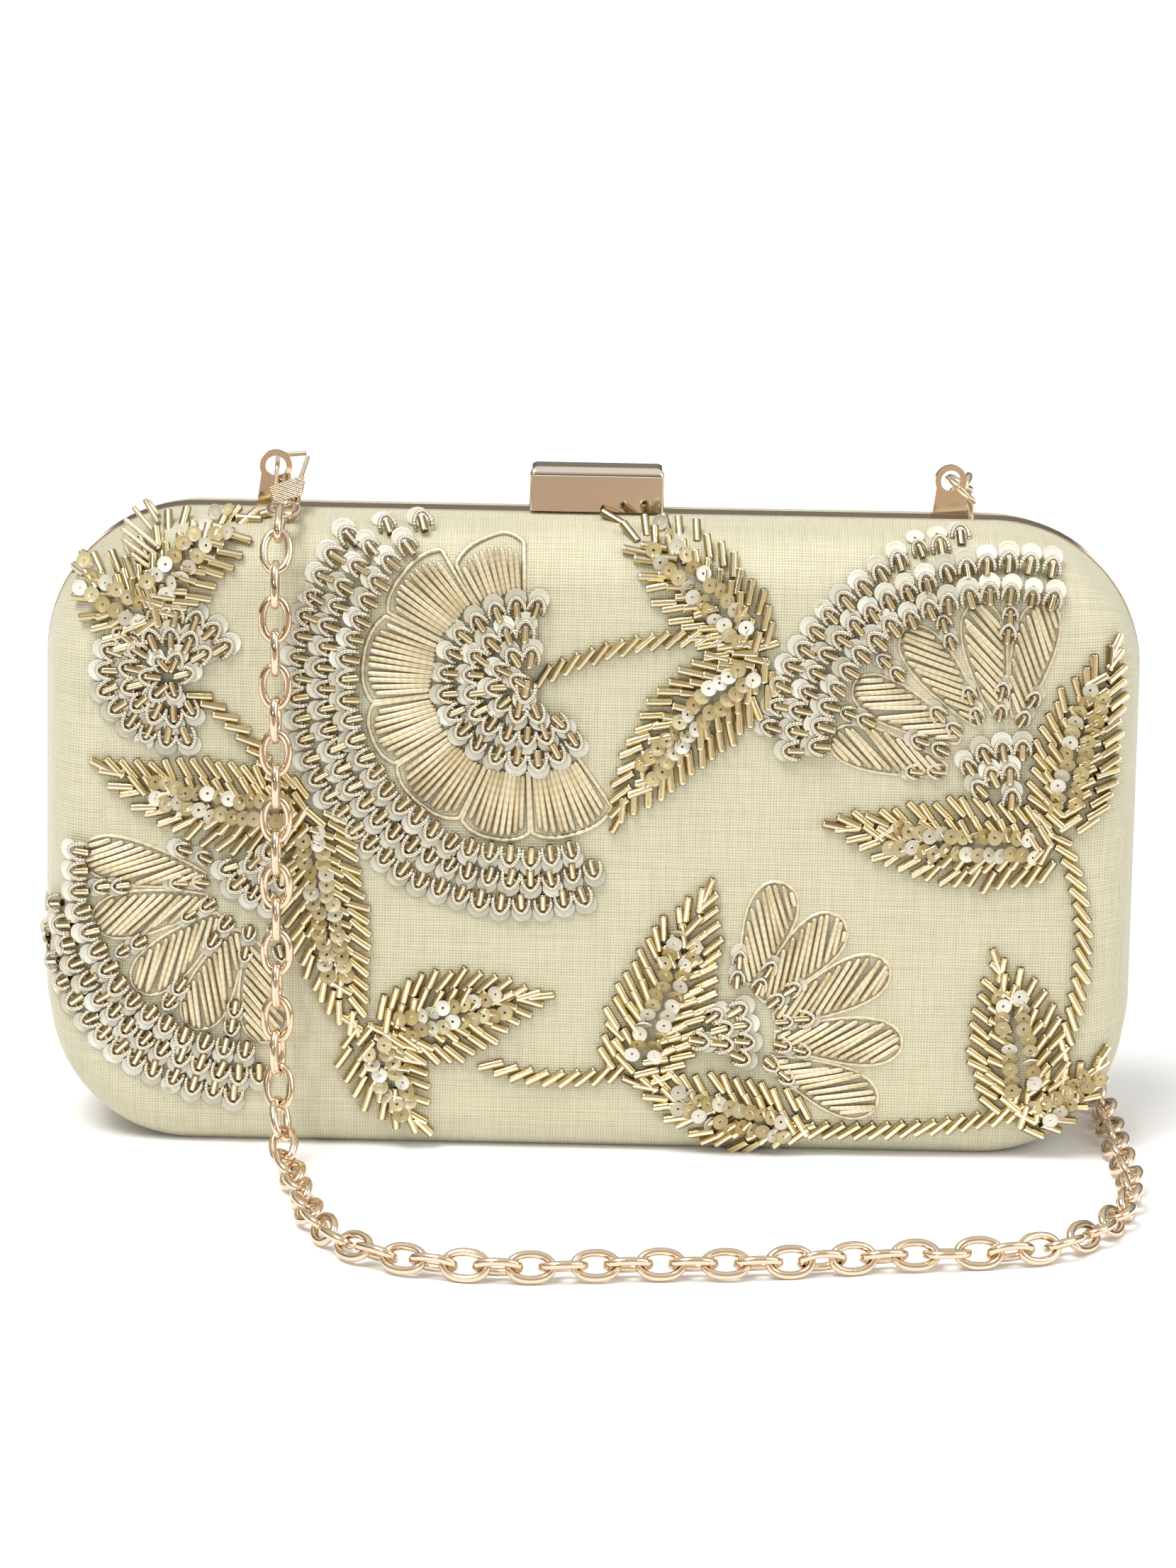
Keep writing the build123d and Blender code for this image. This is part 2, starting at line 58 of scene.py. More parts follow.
# ---- Camera -------------------------------------------------------------------------------------
# A long lens a little above the bag, level with its front, and turned a degree or so in its mount.

EYE_HEIGHT = math.radians(13.0)
EYE_ROLL = math.radians(1.1)
EYE_DISTANCE = 1.3
LOOK_AT = Vector((-0.0006, 0.0, 0.0646))
LENS = 216.1

back = Vector((0.0, -math.cos(EYE_HEIGHT), math.sin(EYE_HEIGHT)))
level = Vector((1.0, 0.0, 0.0))
upright = back.cross(level)
across = math.cos(EYE_ROLL) * level + math.sin(EYE_ROLL) * upright
up = math.cos(EYE_ROLL) * upright - math.sin(EYE_ROLL) * level
camera = bpy.data.objects.new("camera", bpy.data.cameras.new("camera"))
camera.data.sensor_fit = "HORIZONTAL"
camera.data.sensor_width = 36.0
camera.data.lens = LENS
camera.data.clip_start = 0.05
camera.data.clip_end = 20.0
turn = Matrix((across, up, back)).transposed().to_4x4()
camera.matrix_world = Matrix.Translation(LOOK_AT + back * EYE_DISTANCE) @ turn
scene.collection.objects.link(camera)
scene.camera = camera

# ---- Chain --------------------------------------------------------------------------------------
# Oval links of thick rose gold wire, each turned a quarter from the last, closed but not soldered. The
# chain hangs from the clip, lies on the ground in front, and comes up behind to the ring on the right lug.


def new_piece(name, points, faces, body, smooth=True, materials=(), face_material=None):
    """A mesh object at the origin from points in metres and a list or array of faces, riding on a body."""
    mesh = bpy.data.meshes.new(name)
    mesh.from_pydata(np.asarray(points).tolist(), [], np.asarray(faces).tolist())
    mesh.polygons.foreach_set("use_smooth", np.full(len(mesh.polygons), smooth))
    for material in materials:
        mesh.materials.append(material)
    if face_material is not None:
        mesh.polygons.foreach_set("material_index", np.asarray(face_material, dtype=np.int32))
    mesh.update()
    piece = bpy.data.objects.new(name, mesh)
    scene.collection.objects.link(piece)
    if body:
        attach(piece, body)
    return piece


def feed(socket, value):
    """Links an input to another node's output, or sets it to a plain value."""
    if isinstance(value, bpy.types.NodeSocket):
        socket.id_data.links.new(value, socket)
    else:
        socket.default_value = value


def finish(material, **sockets):
    """Feeds the named inputs of a material's shader."""
    shader = material.node_tree.nodes["Principled BSDF"]
    for socket, value in sockets.items():
        feed(shader.inputs[socket.replace("_", " ")], value)


def new_material(name, colour, **sockets):
    """A Principled material with its colour and the named sockets set."""
    material = bpy.data.materials.new(name)
    material.use_nodes = True
    finish(material, Base_Color=(*colour, 1.0), **sockets)
    return material


def node_output(material, kind, output, *values, **settings):
    """Adds a node, sets its properties and feeds its inputs, in order or by name, and returns one output."""
    node = material.node_tree.nodes.new("ShaderNode" + kind)
    for key, value in settings.items():
        if hasattr(node, key):
            setattr(node, key, value)
        else:
            feed(node.inputs[key.replace("_", " ")], value)
    for k, value in enumerate(values):
        feed(node.inputs[k], value)
    return node.outputs[output]


def maths(material, operation, *values):
    return node_output(material, "Math", 0, *values, operation=operation)


def mixed(material, blend, factor, first, second):
    """Two colours mixed in a blend mode."""
    node = material.node_tree.nodes.new("ShaderNodeMix")
    node.data_type = "RGBA"
    node.blend_type = blend
    for k, value in ((0, factor), (6, first), (7, second)):
        feed(node.inputs[k], value)
    return node.outputs[2]


def ramped(material, value, stops):
    """Colours from a ramp over a value, where each stop is a position and a colour."""
    ramp = material.node_tree.nodes.new("ShaderNodeValToRGB")
    elements = ramp.color_ramp.elements
    for position, _ in stops[2:]:
        elements.new(position)
    for element, (position, colour) in zip(elements, stops):
        element.position = position
        element.color = (*colour, 1.0)
    feed(ramp.inputs["Fac"], value)
    return ramp.outputs["Color"]


def object_noise(material, scale, detail=2.0, **settings):
    """Noise laid through the object's own space."""
    place = node_output(material, "TexCoord", "Object")
    return node_output(material, "TexNoise", "Fac", Vector=place, Scale=scale, Detail=detail, **settings)


def bumped(material, height, strength, distance):
    """Bends the material's normals by a height."""
    bump = node_output(material, "Bump", "Normal", Height=height, Strength=strength, Distance=distance)
    finish(material, Normal=bump)


def polished(name, colour, roughness):
    """Plated metal: fine wear makes the roughness drift, and a faint ripple bends the reflections."""
    material = new_material(name, colour, Metallic=1.0)
    wear = object_noise(material, 260.0, 4.0)
    drift = {"To_Min": 0.6 * roughness, "To_Max": 1.7 * roughness}
    finish(
        material,
        Roughness=node_output(material, "MapRange", "Result", Value=wear, **drift),
        Base_Color=ramped(material, wear, [(0.0, [0.93 * c for c in colour]), (1.0, colour)]),
    )
    bumped(material, object_noise(material, 60.0), 0.12, 0.0004)
    return material


CHAIN_ROUTE = [
    (-0.0564, -0.0118, 0.1179),
    (-0.0568, -0.0206, 0.1186),
    (-0.0574, -0.0284, 0.1090),
    (-0.0570, -0.0288, 0.0880),
    (-0.0566, -0.0284, 0.0560),
    (-0.0562, -0.0289, 0.0290),
    (-0.0557, -0.0310, 0.0120),
    (-0.0540, -0.0410, 0.00305),
    (-0.0505, -0.0570, 0.00305),
    (-0.0476, -0.0780, 0.00305),
    (-0.0385, -0.0960, 0.00305),
    (-0.0180, -0.1045, 0.00305),
    (0.0080, -0.1000, 0.00305),
    (0.0340, -0.0980, 0.00305),
    (0.0580, -0.0905, 0.00305),
    (0.0800, -0.0880, 0.00305),
    (0.0935, -0.0710, 0.00305),
    (0.0990, -0.0480, 0.00305),
    (0.0975, -0.0220, 0.00305),
    (0.0970, 0.0000, 0.00305),
    (0.09668, 0.0140, 0.00305),
    (0.0900, 0.0265, 0.0065),
    (0.0850, 0.0286, 0.0260),
    (0.0805, 0.0282, 0.0520),
    (0.0735, 0.0286, 0.0820),
    (0.0686, 0.0280, 0.1070),
    (0.0670, 0.0195, 0.1196),
    (0.0668, 0.0066, 0.1204),
]
CHAIN_WIDTH = 6.1 * MM
LINK_LENGTH = 9.1 * MM
LINK_WIRE = 0.75 * MM
HANG_PITCH = 6.15 * MM
LYING_PITCH = 5.65 * MM
LYING_DROP = 0.15 * MM

route = bpy.data.curves.new("chain_route", "CURVE")
route.dimensions = "3D"
route.resolution_u = 24
spline = route.splines.new("NURBS")
spline.points.add(len(CHAIN_ROUTE) - 1)
for point, place in zip(spline.points, CHAIN_ROUTE):
    point.co = (*place, 1.0)
spline.order_u = 3
spline.use_endpoint_u = True
route_object = bpy.data.objects.new("chain_route", route)
route_mesh = bpy.data.meshes.new_from_object(route_object)
chain_line = np.array([v.co[:] for v in route_mesh.vertices])
bpy.data.objects.remove(route_object)
bpy.data.meshes.remove(route_mesh)


def along_line(line, spots):
    """Points and unit directions at distances along a polyline."""
    steps = np.linalg.norm(np.diff(line, axis=0), axis=1)
    reach = np.concatenate([[0.0], np.cumsum(steps)])
    places = np.stack([np.interp(spots, reach, line[:, k]) for k in range(3)], axis=1)
    ahead = np.stack([np.interp(spots + 0.001, reach, line[:, k]) for k in range(3)], axis=1)
    behind = np.stack([np.interp(spots - 0.001, reach, line[:, k]) for k in range(3)], axis=1)
    ways = ahead - behind
    return places, ways / np.linalg.norm(ways, axis=1)[:, None], reach[-1]


def carried_normals(ways, start):
    """A normal for each direction, carried along without twist from the first one."""
    normals = []
    normal = np.array(start, float)
    for way in ways:
        normal = normal - way * (normal @ way)
        normal /= np.linalg.norm(normal)
        normals.append(normal)
    return np.array(normals)


def tube_grid(rows, sides, closed=False):
    """Quads joining rows of points round a tube, row after row, and the last row to the first if closed."""
    i, j = np.meshgrid(np.arange(rows if closed else rows - 1), np.arange(sides), indexing="ij")
    i2, j2 = (i + 1) % rows, (j + 1) % sides
    return np.stack([i * sides + j, i2 * sides + j, i2 * sides + j2, i * sides + j2], -1).reshape(-1, 4)


TURNED_OVER = [0, 3, 2, 1]


def link_shape(turns=28, sides=9):
    """One link along local x: a squarish oval centre line, x = a sign(cos t)|cos t|^0.9 and y = b sin t,
    with a round wire section turned about it."""
    t = np.linspace(0, 2 * np.pi, turns, endpoint=False)
    half_long = LINK_LENGTH / 2 - LINK_WIRE
    half_wide = CHAIN_WIDTH / 2 - LINK_WIRE
    lengthwise = half_long * np.sign(np.cos(t)) * np.abs(np.cos(t)) ** 0.9
    centre = np.stack([lengthwise, half_wide * np.sin(t), 0 * t], 1)
    way = np.roll(centre, -1, 0) - np.roll(centre, 1, 0)
    way /= np.linalg.norm(way, axis=1)[:, None]
    outward = np.stack([way[:, 1], -way[:, 0], 0 * t], 1)
    s = np.linspace(0, 2 * np.pi, sides, endpoint=False)
    ring = np.cos(s)[None, :, None] * outward[:, None] + np.sin(s)[None, :, None] * np.array([0, 0, 1.0])
    points = (centre[:, None] + LINK_WIRE * ring).reshape(-1, 3)
    return points, tube_grid(turns, sides, closed=True)[:, TURNED_OVER]


chaos = np.random.default_rng(7)
_, _, chain_length = along_line(chain_line, np.array([0.0]))
spots = [LINK_LENGTH / 2 - 0.001]
while spots[-1] < chain_length - LINK_LENGTH / 2:
    here, _, _ = along_line(chain_line, np.array([spots[-1]]))
    spots.append(spots[-1] + (LYING_PITCH if here[0, 2] < 0.012 else HANG_PITCH))
spots = np.array(spots)
places, ways, _ = along_line(chain_line, spots)
fine = np.linspace(0, chain_length, 1200)
_, fine_ways, _ = along_line(chain_line, fine)
fine_normals = carried_normals(fine_ways, (0.0, -0.3, 1.0))
normals = np.stack([np.interp(spots, fine, fine_normals[:, k]) for k in range(3)], 1)
normals -= ways * (normals * ways).sum(1)[:, None]
normals /= np.linalg.norm(normals, axis=1)[:, None]
lying = np.clip((0.03 - places[:, 2]) / 0.025, 0, 1)
places[:, 2] -= LYING_DROP * lying
roll = np.pi / 2 * (np.arange(len(spots)) % 2) + np.radians(45) * lying
roll += np.radians(7) * chaos.standard_normal(len(spots)) * (0.4 + lying)
sides_way = np.cross(normals, ways)
across_link = np.cos(roll)[:, None] * sides_way + np.sin(roll)[:, None] * normals
link_normal = np.cross(ways, across_link)
link_points, link_faces = link_shape()
chain_points = (
    places[:, None]
    + link_points[None, :, :1] * ways[:, None]
    + link_points[None, :, 1:2] * across_link[:, None]
    + link_points[None, :, 2:] * link_normal[:, None]
).reshape(-1, 3)
chain_faces = (link_faces[None] + len(link_points) * np.arange(len(spots))[:, None, None]).reshape(-1, 4)
chain_gold = polished("chain_gold", (0.82, 0.66, 0.49), 0.1)
chain = new_piece("chain", chain_points, chain_faces, None, materials=[chain_gold])
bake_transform(chain)
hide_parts("chain_front", "chain_back")

# ---- Silk covers --------------------------------------------------------------------------------
# Straw gold slubbed silk, pulled over each moulded shell and tucked against the frame. The front face and
# the walls are one cloth, so its flat pattern runs on round the edge, and it crowns slightly over wadding.

cover_low, cover_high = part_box("front_cover")
WALL_TOP = cover_high[2]
HALF_WIDTH = cover_high[0]
FACE_Y = -cover_low[1]
BAND_Y = -cover_high[1]
LEAN = 0.15
FACE_LEAN = LEAN * (FACE_Y - BAND_Y)
CORNER_R = 27.5 * MM
EDGE_R = 8.0 * MM
CROWN = 0.5 * MM
EDGE_LEAN = LEAN * EDGE_R
WALL_REACH = 8.6 * MM


def face_inset(x, z):
    """Distance inside the front face's outline: a rounded rectangle brought in by the walls' lean at the
    sides and top, with its low edge at the base."""
    half_wide = HALF_WIDTH - FACE_LEAN
    half_high = (WALL_TOP - FACE_LEAN) / 2
    radius = CORNER_R - FACE_LEAN
    qx = np.abs(x) - (half_wide - radius)
    qz = np.abs(z - half_high) - (half_high - radius)
    outside = np.hypot(np.maximum(qx, 0), np.maximum(qz, 0)) + np.minimum(np.maximum(qx, qz), 0)
    return radius - outside


def face_depth(x, z):
    """How far forward the cloth stands: flat with a slight crown, then an elliptical quarter round that
    meets the leaning walls."""
    reach = EDGE_R + EDGE_LEAN
    rounding = np.clip(reach - (face_inset(x, z) + EDGE_LEAN), 0, reach) / reach
    drop = EDGE_R * (1 - np.sqrt(np.maximum(1 - rounding**2, 0)))
    crown = CROWN * (1 - np.exp(-np.clip(face_inset(x, z) - EDGE_R, 0, None) / (12 * MM)))
    return FACE_Y + crown - drop


def onto_cloth(x, z):
    """The point on the cloth for a place in the face's plane. Past the outline, it goes back along the wall
    some way for every step out, further at the ends than at the top, and out only by the wall's lean."""
    step = 0.1 * MM
    out_x = (face_inset(x - step, z) - face_inset(x + step, z)) / (2 * step)
    out_z = (face_inset(x, z - step) - face_inset(x, z + step)) / (2 * step)
    past = np.clip(-face_inset(x, z) - EDGE_LEAN, 0, None)
    behind = np.minimum(past * (1.4 + 4 * np.abs(out_x)), WALL_REACH)
    lean = LEAN * np.where(out_z < 0, np.abs(out_x), 1.0)
    near_x = x - out_x * (past - lean * behind)
    near_z = z - out_z * (past - lean * behind)
    return np.stack([near_x, behind - face_depth(x, z), near_z], -1)


def wall_ring(steps):
    """Corner centres and outward directions round the outline, clockwise from the upper left, with so many
    steps along the top, round a corner and down a side, the same on opposite sides."""
    wide, high = HALF_WIDTH - CORNER_R, WALL_TOP / 2 - CORNER_R
    corners = [(-wide, high), (wide, high), (wide, -high), (-wide, -high)]
    parts = []
    for k in range(4):
        run, bend = (steps[0], steps[1]) if k % 2 == 0 else (steps[2], steps[1])
        first, second = np.array(corners[k]), np.array(corners[(k + 1) % 4])
        facing = np.pi / 2 - k * np.pi / 2
        along = np.arange(run)[:, None] / run
        straight = first + (second - first) * along
        parts.append((straight, np.full(run, facing)))
        parts.append((np.repeat(second[None], bend, 0), facing - np.arange(bend) / bend * np.pi / 2))
    centres = np.concatenate([centre for centre, _ in parts])
    angles = np.concatenate([angle for _, angle in parts])
    return centres[:, 0], centres[:, 1], np.cos(angles), np.sin(angles)


ring_x, ring_z, ring_nx, ring_nz = wall_ring((200, 60, 100))
RING = len(ring_x)
MID_Z = WALL_TOP / 2


def cover_sheet(side):
    """Rings from the frame band to the face: down the leaning wall, round the edge by quarter circle, then
    drawn in to a line in the middle. Returns points, faces and the flat cloth coordinates."""
    rows, cloth = [], []
    flat_reach = FACE_Y - BAND_Y - EDGE_R + EDGE_R * np.pi / 2
    walls = np.linspace(0, 1, 9)
    for t in walls:
        depth = BAND_Y + t * (FACE_Y - EDGE_R - BAND_Y)
        rows.append((0.0, LEAN * (depth - BAND_Y), depth))
        cloth.append(flat_reach - t * (FACE_Y - EDGE_R - BAND_Y))
    for angle in np.linspace(0, np.pi / 2, 13)[1:]:
        depth = FACE_Y - EDGE_R + EDGE_R * np.sin(angle)
        rows.append((EDGE_R * (1 - np.cos(angle)), LEAN * (depth - BAND_Y), depth))
        cloth.append(EDGE_R * (np.pi / 2 - angle))
    points, flats = [], []
    flat_radius = CORNER_R - EDGE_R - FACE_LEAN
    for (inset, lean, depth), beyond in zip(rows, cloth):
        radius = CORNER_R - inset - lean
        x = ring_x + ring_nx * radius
        z = MID_Z + ring_z + ring_nz * radius - lean * (1 - ring_z / ring_z.max()) / 2
        points.append(np.stack([x, np.full(RING, -depth), z], 1))
        flat_x = ring_x + ring_nx * (flat_radius + beyond)
        flats.append(np.stack([flat_x, MID_Z + ring_z + ring_nz * (flat_radius + beyond)], 1))
    rim = points[-1]
    middle = np.full(RING, rim[:, 2].max() / 2 + rim[:, 2].min() / 2)
    spine = np.stack([np.clip(rim[:, 0], -0.045, 0.045), 0 * middle, middle], 1)
    for t in np.linspace(0, 1, 40)[1:]:
        blend_in = rim * (1 - t) + spine * t
        blend_in[:, 1] = -face_depth(blend_in[:, 0], blend_in[:, 2])
        points.append(blend_in)
        flats.append(blend_in[:, [0, 2]])
    count = len(points)
    points = np.array(points).reshape(-1, 3)
    points[:, 1] *= -side
    faces = tube_grid(count, RING)[:, TURNED_OVER]
    if side > 0:
        faces = faces[:, ::-1]
    return points, faces, np.array(flats).reshape(-1, 2)


THREAD = 0.52  # millimetres between threads


def woven_silk(name, pale, deep):
    """Plain weave from the flat cloth's own coordinates: two rows of rounded threads that pass over and
    under, with slubs that thicken and lighten a thread here and there, and a soft sheen. The colour is
    painted lighter on the thread crowns and darker in the hollows between threads, as shade."""
    material = new_material(name, pale, Roughness=0.5, Sheen_Weight=0.25, Sheen_Roughness=0.4)
    cloth = node_output(material, "UVMap", "UV", uv_map="cloth")
    wander = node_output(material, "TexNoise", "Color", Vector=cloth, Scale=0.35, Detail=2.0)
    push = (0.35, 0.35, 0.0)
    wavy = node_output(material, "VectorMath", "Vector", wander, push, cloth, operation="MULTIPLY_ADD")
    axes = node_output(material, "SeparateXYZ", "X", wavy).node.outputs
    turns = [maths(material, "MULTIPLY", axes[name], math.pi / THREAD) for name in ("X", "Y")]
    warp, weft = (maths(material, "SINE", turn) for turn in turns)
    crossing = maths(material, "MULTIPLY", warp, weft)
    heights = []
    for thread, over in ((warp, 0.35), (weft, -0.35)):
        rise = maths(material, "MULTIPLY_ADD", crossing, over, 0.65)
        heights.append(maths(material, "MULTIPLY", maths(material, "ABSOLUTE", thread), rise))
    top = maths(material, "MAXIMUM", *heights)
    slubs = []
    for scale in ((0.06, 1.9, 1.0), (1.9, 0.09, 1.0)):
        drawn = node_output(material, "Mapping", "Vector", Vector=cloth, Scale=scale)
        grain = {"Scale": 1.0, "Detail": 3.0, "Roughness": 0.65}
        slubs.append(node_output(material, "TexNoise", "Fac", Vector=drawn, **grain))
    tone = maths(material, "MULTIPLY_ADD", maths(material, "ADD", *slubs), 0.6, -0.45)
    # Painted shade: lighter on the thread crowns and darker in the hollows between them, over the slubs' own
    # tone.
    level = maths(material, "MULTIPLY_ADD", top, 0.75, tone)
    finish(material, Base_Color=ramped(material, level, [(0.05, deep), (0.8, pale)]))
    bumped(material, top, 0.7, 0.00018)
    return material


def lay_cloth(piece, flats):
    """Gives the mesh its flat cloth coordinates, in millimetres, as the UV map called cloth, and closes it
    along the middle."""
    layer = piece.data.uv_layers.new(name="cloth")
    corners = np.empty(len(piece.data.loops), dtype=np.int32)
    piece.data.loops.foreach_get("vertex_index", corners)
    layer.data.foreach_set("uv", (flats[corners] / MM).astype(np.float32).ravel())
    joined = bmesh.new()
    joined.from_mesh(piece.data)
    bmesh.ops.remove_doubles(joined, verts=joined.verts, dist=0.00001)
    joined.to_mesh(piece.data)
    joined.free()


silk = woven_silk("straw_silk", (0.648, 0.618, 0.447), (0.36, 0.308, 0.175))
for half, side in (("front", -1), ("back", 1)):
    points, faces, flats = cover_sheet(side)
    cover = new_piece(f"{half}_silk", points, faces, f"{half}_half", materials=[silk])
    lay_cloth(cover, flats)
    wall = cover.modifiers.new("thickness", "SOLIDIFY")
    wall.thickness = 0.5 * MM
    wall.offset = -1.0
    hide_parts(f"{half}_cover")

# ---- Beadwork -----------------------------------------------------------------------------------
# Hollow glass bugles, cupped sequins held by hoops of crimped wire, and bars of satin bullion, all sewn
# through the silk by hand. Each motif is one piece standing on the face, on the low pad it was worked over.

FORWARD_LEAN = 0.9
BEAD_LIFT = 0.9
GROUND_CLEAR = 1.8
PAST_EDGE = 2.8


def frame_on_face(x, z, angle, lift):
    """Standing frames on the cloth: origin, along, sideways and outward vectors for spots in x and z, each
    turned to an angle in the face's plane (0 is +x, 90 degrees is +z) and raised by lift, all in
    millimetres. On the rounded top edge the pads under the beads turn them well back to the front."""
    x, z, angle, lift = np.broadcast_arrays(*(np.asarray(v, float) for v in (x, z, angle, lift)))
    x, z, lift = x * MM, z * MM, lift * MM
    step_x, step_z = 0.4 * MM * np.cos(angle), 0.4 * MM * np.sin(angle)
    way = onto_cloth(x + step_x, z + step_z) - onto_cloth(x - step_x, z - step_z)
    beside = onto_cloth(x - step_z, z + step_x) - onto_cloth(x + step_z, z - step_x)
    way /= np.linalg.norm(way, axis=-1, keepdims=True)
    out = np.cross(way, beside)
    out /= np.linalg.norm(out, axis=-1, keepdims=True)
    spot = onto_cloth(x, z) + out * lift[..., None]
    out[..., 1] -= FORWARD_LEAN * np.clip(out[..., 2], 0, None)
    out /= np.linalg.norm(out, axis=-1, keepdims=True)
    way -= out * (way * out).sum(-1, keepdims=True)
    way /= np.linalg.norm(way, axis=-1, keepdims=True)
    return spot, way, np.cross(out, way), out


def on_bag(x, z):
    """Which places (in millimetres) are on the cloth that the stitcher could reach: clear of the ground,
    and not behind the edge of the frame."""
    return (z > GROUND_CLEAR) & (face_inset(x * MM, z * MM) > -PAST_EDGE * MM)


class Sewing:
    """Gathers copies of small shapes into one mesh, with each copy's own shade, every point's place along
    the shape and its height in it (from -1 on the cloth's side to 1 on top), and its material. From that
    height the materials paint a highlight streak along each copy's top and shade down its sides."""

    def __init__(self):
        self.points, self.faces, self.kinds, self.shades, self.along, self.tops = [], [], [], [], [], []
        self.count = 0

    def add(self, shape, frames, kind, shade=None, stretch=1.0, widen=1.0):
        """Copies a shape (points in millimetres, faces, along) to every frame, stretched along its x."""
        points, faces, along = shape
        spot, way, sideways, out = (np.atleast_2d(v) for v in frames)
        n = len(spot)
        stretch = np.broadcast_to(stretch, n)[:, None, None]
        widen = np.broadcast_to(widen, n)[:, None, None]
        moved = (
            spot[:, None]
            + MM * stretch * points[None, :, :1] * way[:, None]
            + MM * widen * points[None, :, 1:2] * sideways[:, None]
            + MM * points[None, :, 2:] * out[:, None]
        ).reshape(-1, 3)
        grid = faces[None] + len(points) * np.arange(n)[:, None, None] + self.count
        self.points.append(moved)
        self.faces.append(grid.reshape(-1, 4))
        self.kinds.append(np.full(n * len(faces), kind))
        if shade is None:
            shade = chaos.random(n)
        self.shades.append(np.repeat(shade, len(points)))
        self.along.append(np.tile(along, n))
        # The height in the shape, from which the materials paint a highlight streak and side shade.
        self.tops.append(np.tile(points[:, 2] / np.abs(points[:, 2]).max(), n))
        self.count += len(moved)

    def piece(self, name, body, materials):
        """One object from everything gathered, with the shade and along attributes the materials read."""
        made = new_piece(
            name,
            np.concatenate(self.points),
            np.concatenate(self.faces),
            body,
            materials=materials,
            face_material=np.concatenate(self.kinds),
        )
        for title, values in (("shade", self.shades), ("along", self.along), ("top", self.tops)):
            layer = made.data.attributes.new(title, "FLOAT", "POINT")
            layer.data.foreach_set("value", np.concatenate(values).astype(np.float32))
        return made


def turned(profile, sides, phase=0.5):
    """A shape turned about x from (x, radius) points, with how far along each row stands."""
    profile = np.array(profile, float)
    s = 2 * np.pi * (np.arange(sides) + phase) / sides
    x = np.repeat(profile[:, 0], sides)
    r = np.repeat(profile[:, 1], sides)
    ring = np.tile(s, len(profile))
    points = np.stack([x, r * np.cos(ring), r * np.sin(ring)], 1)
    return points, tube_grid(len(profile), sides)[:, ::-1], np.repeat(np.linspace(0, 1, len(profile)), sides)


def bugle_shape(length, radius, bore=0.42, sides=6):
    """A cut glass tube: outside, rounded rims, and into the bore at each end."""
    half = length / 2
    end = [(0.5, bore), (0.0, 0.5), (0.0, 0.94), (0.05, 1.0), (0.35, 1.0)]
    left = [(-half + inward, radius * share) for inward, share in end]
    return turned(left + [(-x, r) for x, r in left[::-1]], sides)


def sequin_shape(radius, sides=12):
    """A thin cupped disc with a small hole, lying in the plane: rim, slope, hole edge and underside."""
    rows = [(0.17, 0.02), (0.55, 0.02), (0.86, 0.08), (1.0, 0.2), (0.97, 0.1), (0.6, -0.06)]
    s = 2 * np.pi * np.arange(sides) / sides
    rings = [np.stack([r * np.cos(s), r * np.sin(s), 0 * s + z], 1) for r, z in radius * np.array(rows)]
    along = np.repeat(np.linspace(0, 1, len(rows)), sides)
    return np.concatenate(rings), tube_grid(len(rows), sides), along


def hoop_shape(reach, width, wire, turns=16, sides=6, height=0.75):
    """Crimped wire bent over in a horseshoe: from one foot out round the front and back to the other."""
    t = np.linspace(-0.68 * np.pi, 0.68 * np.pi, turns)
    half = width * np.sin(t) * (1 - 0.18 * np.cos(t))
    centre = np.stack([reach * np.cos(t), half, 0 * t + height], 1)
    foot = np.clip((np.abs(t) - 0.45 * np.pi) / (0.23 * np.pi), 0, 1)
    centre[:, 2] -= foot**2 * (height - 0.1)
    way = np.gradient(centre, axis=0)
    way /= np.linalg.norm(way, axis=1)[:, None]
    outward = np.cross(way, np.array([0, 0, 1.0]))
    outward /= np.linalg.norm(outward, axis=1)[:, None]
    upward = np.cross(outward, way)
    s = 2 * np.pi * np.arange(sides) / sides
    ring = np.cos(s)[None, :, None] * outward[:, None] + np.sin(s)[None, :, None] * upward[:, None]
    points = (centre[:, None] + wire * ring).reshape(-1, 3)
    return points, tube_grid(turns, sides)[:, ::-1], np.repeat(np.linspace(0, 1, turns), sides)


def bar_shape(length, radius, sides=6):
    """A bar of bullion from x = 0 to its length, with rounded ends, bowed slightly up in the middle."""
    rows = [(0.0, 0.1), (0.02, 0.8), (0.07, 1.0), (0.5, 1.0), (0.93, 1.0), (0.98, 0.8), (1.0, 0.1)]
    points, faces, along = turned([(x * length, r * radius) for x, r in rows], sides)
    points[:, 2] += 0.35 * radius * np.sin(np.pi * points[:, 0] / length)
    return points, faces, along


def wire_along(line, radius, lift, sides=6):
    """A fine wire lying on the face along points in x and z (millimetres)."""
    line = np.asarray(line, float)
    steps = np.concatenate([[0], np.cumsum(np.linalg.norm(np.diff(line, axis=0), axis=1))])
    spots = np.linspace(0, steps[-1], max(4, int(steps[-1] / 0.45)))
    x, z = (np.interp(spots, steps, line[:, k]) for k in (0, 1))
    angle = np.arctan2(np.gradient(z), np.gradient(x))
    spot, way, sideways, out = frame_on_face(x, z, angle, lift)
    swell = radius * (1 + 0.12 * np.cos(np.arange(len(spots)) * np.pi))
    s = 2 * np.pi * np.arange(sides) / sides
    ring = np.cos(s)[None, :, None] * sideways[:, None] + np.sin(s)[None, :, None] * out[:, None]
    points = (spot[:, None] + MM * swell[:, None, None] * ring).reshape(-1, 3)
    return points, tube_grid(len(spots), sides), np.repeat(spots / spots[-1], sides)


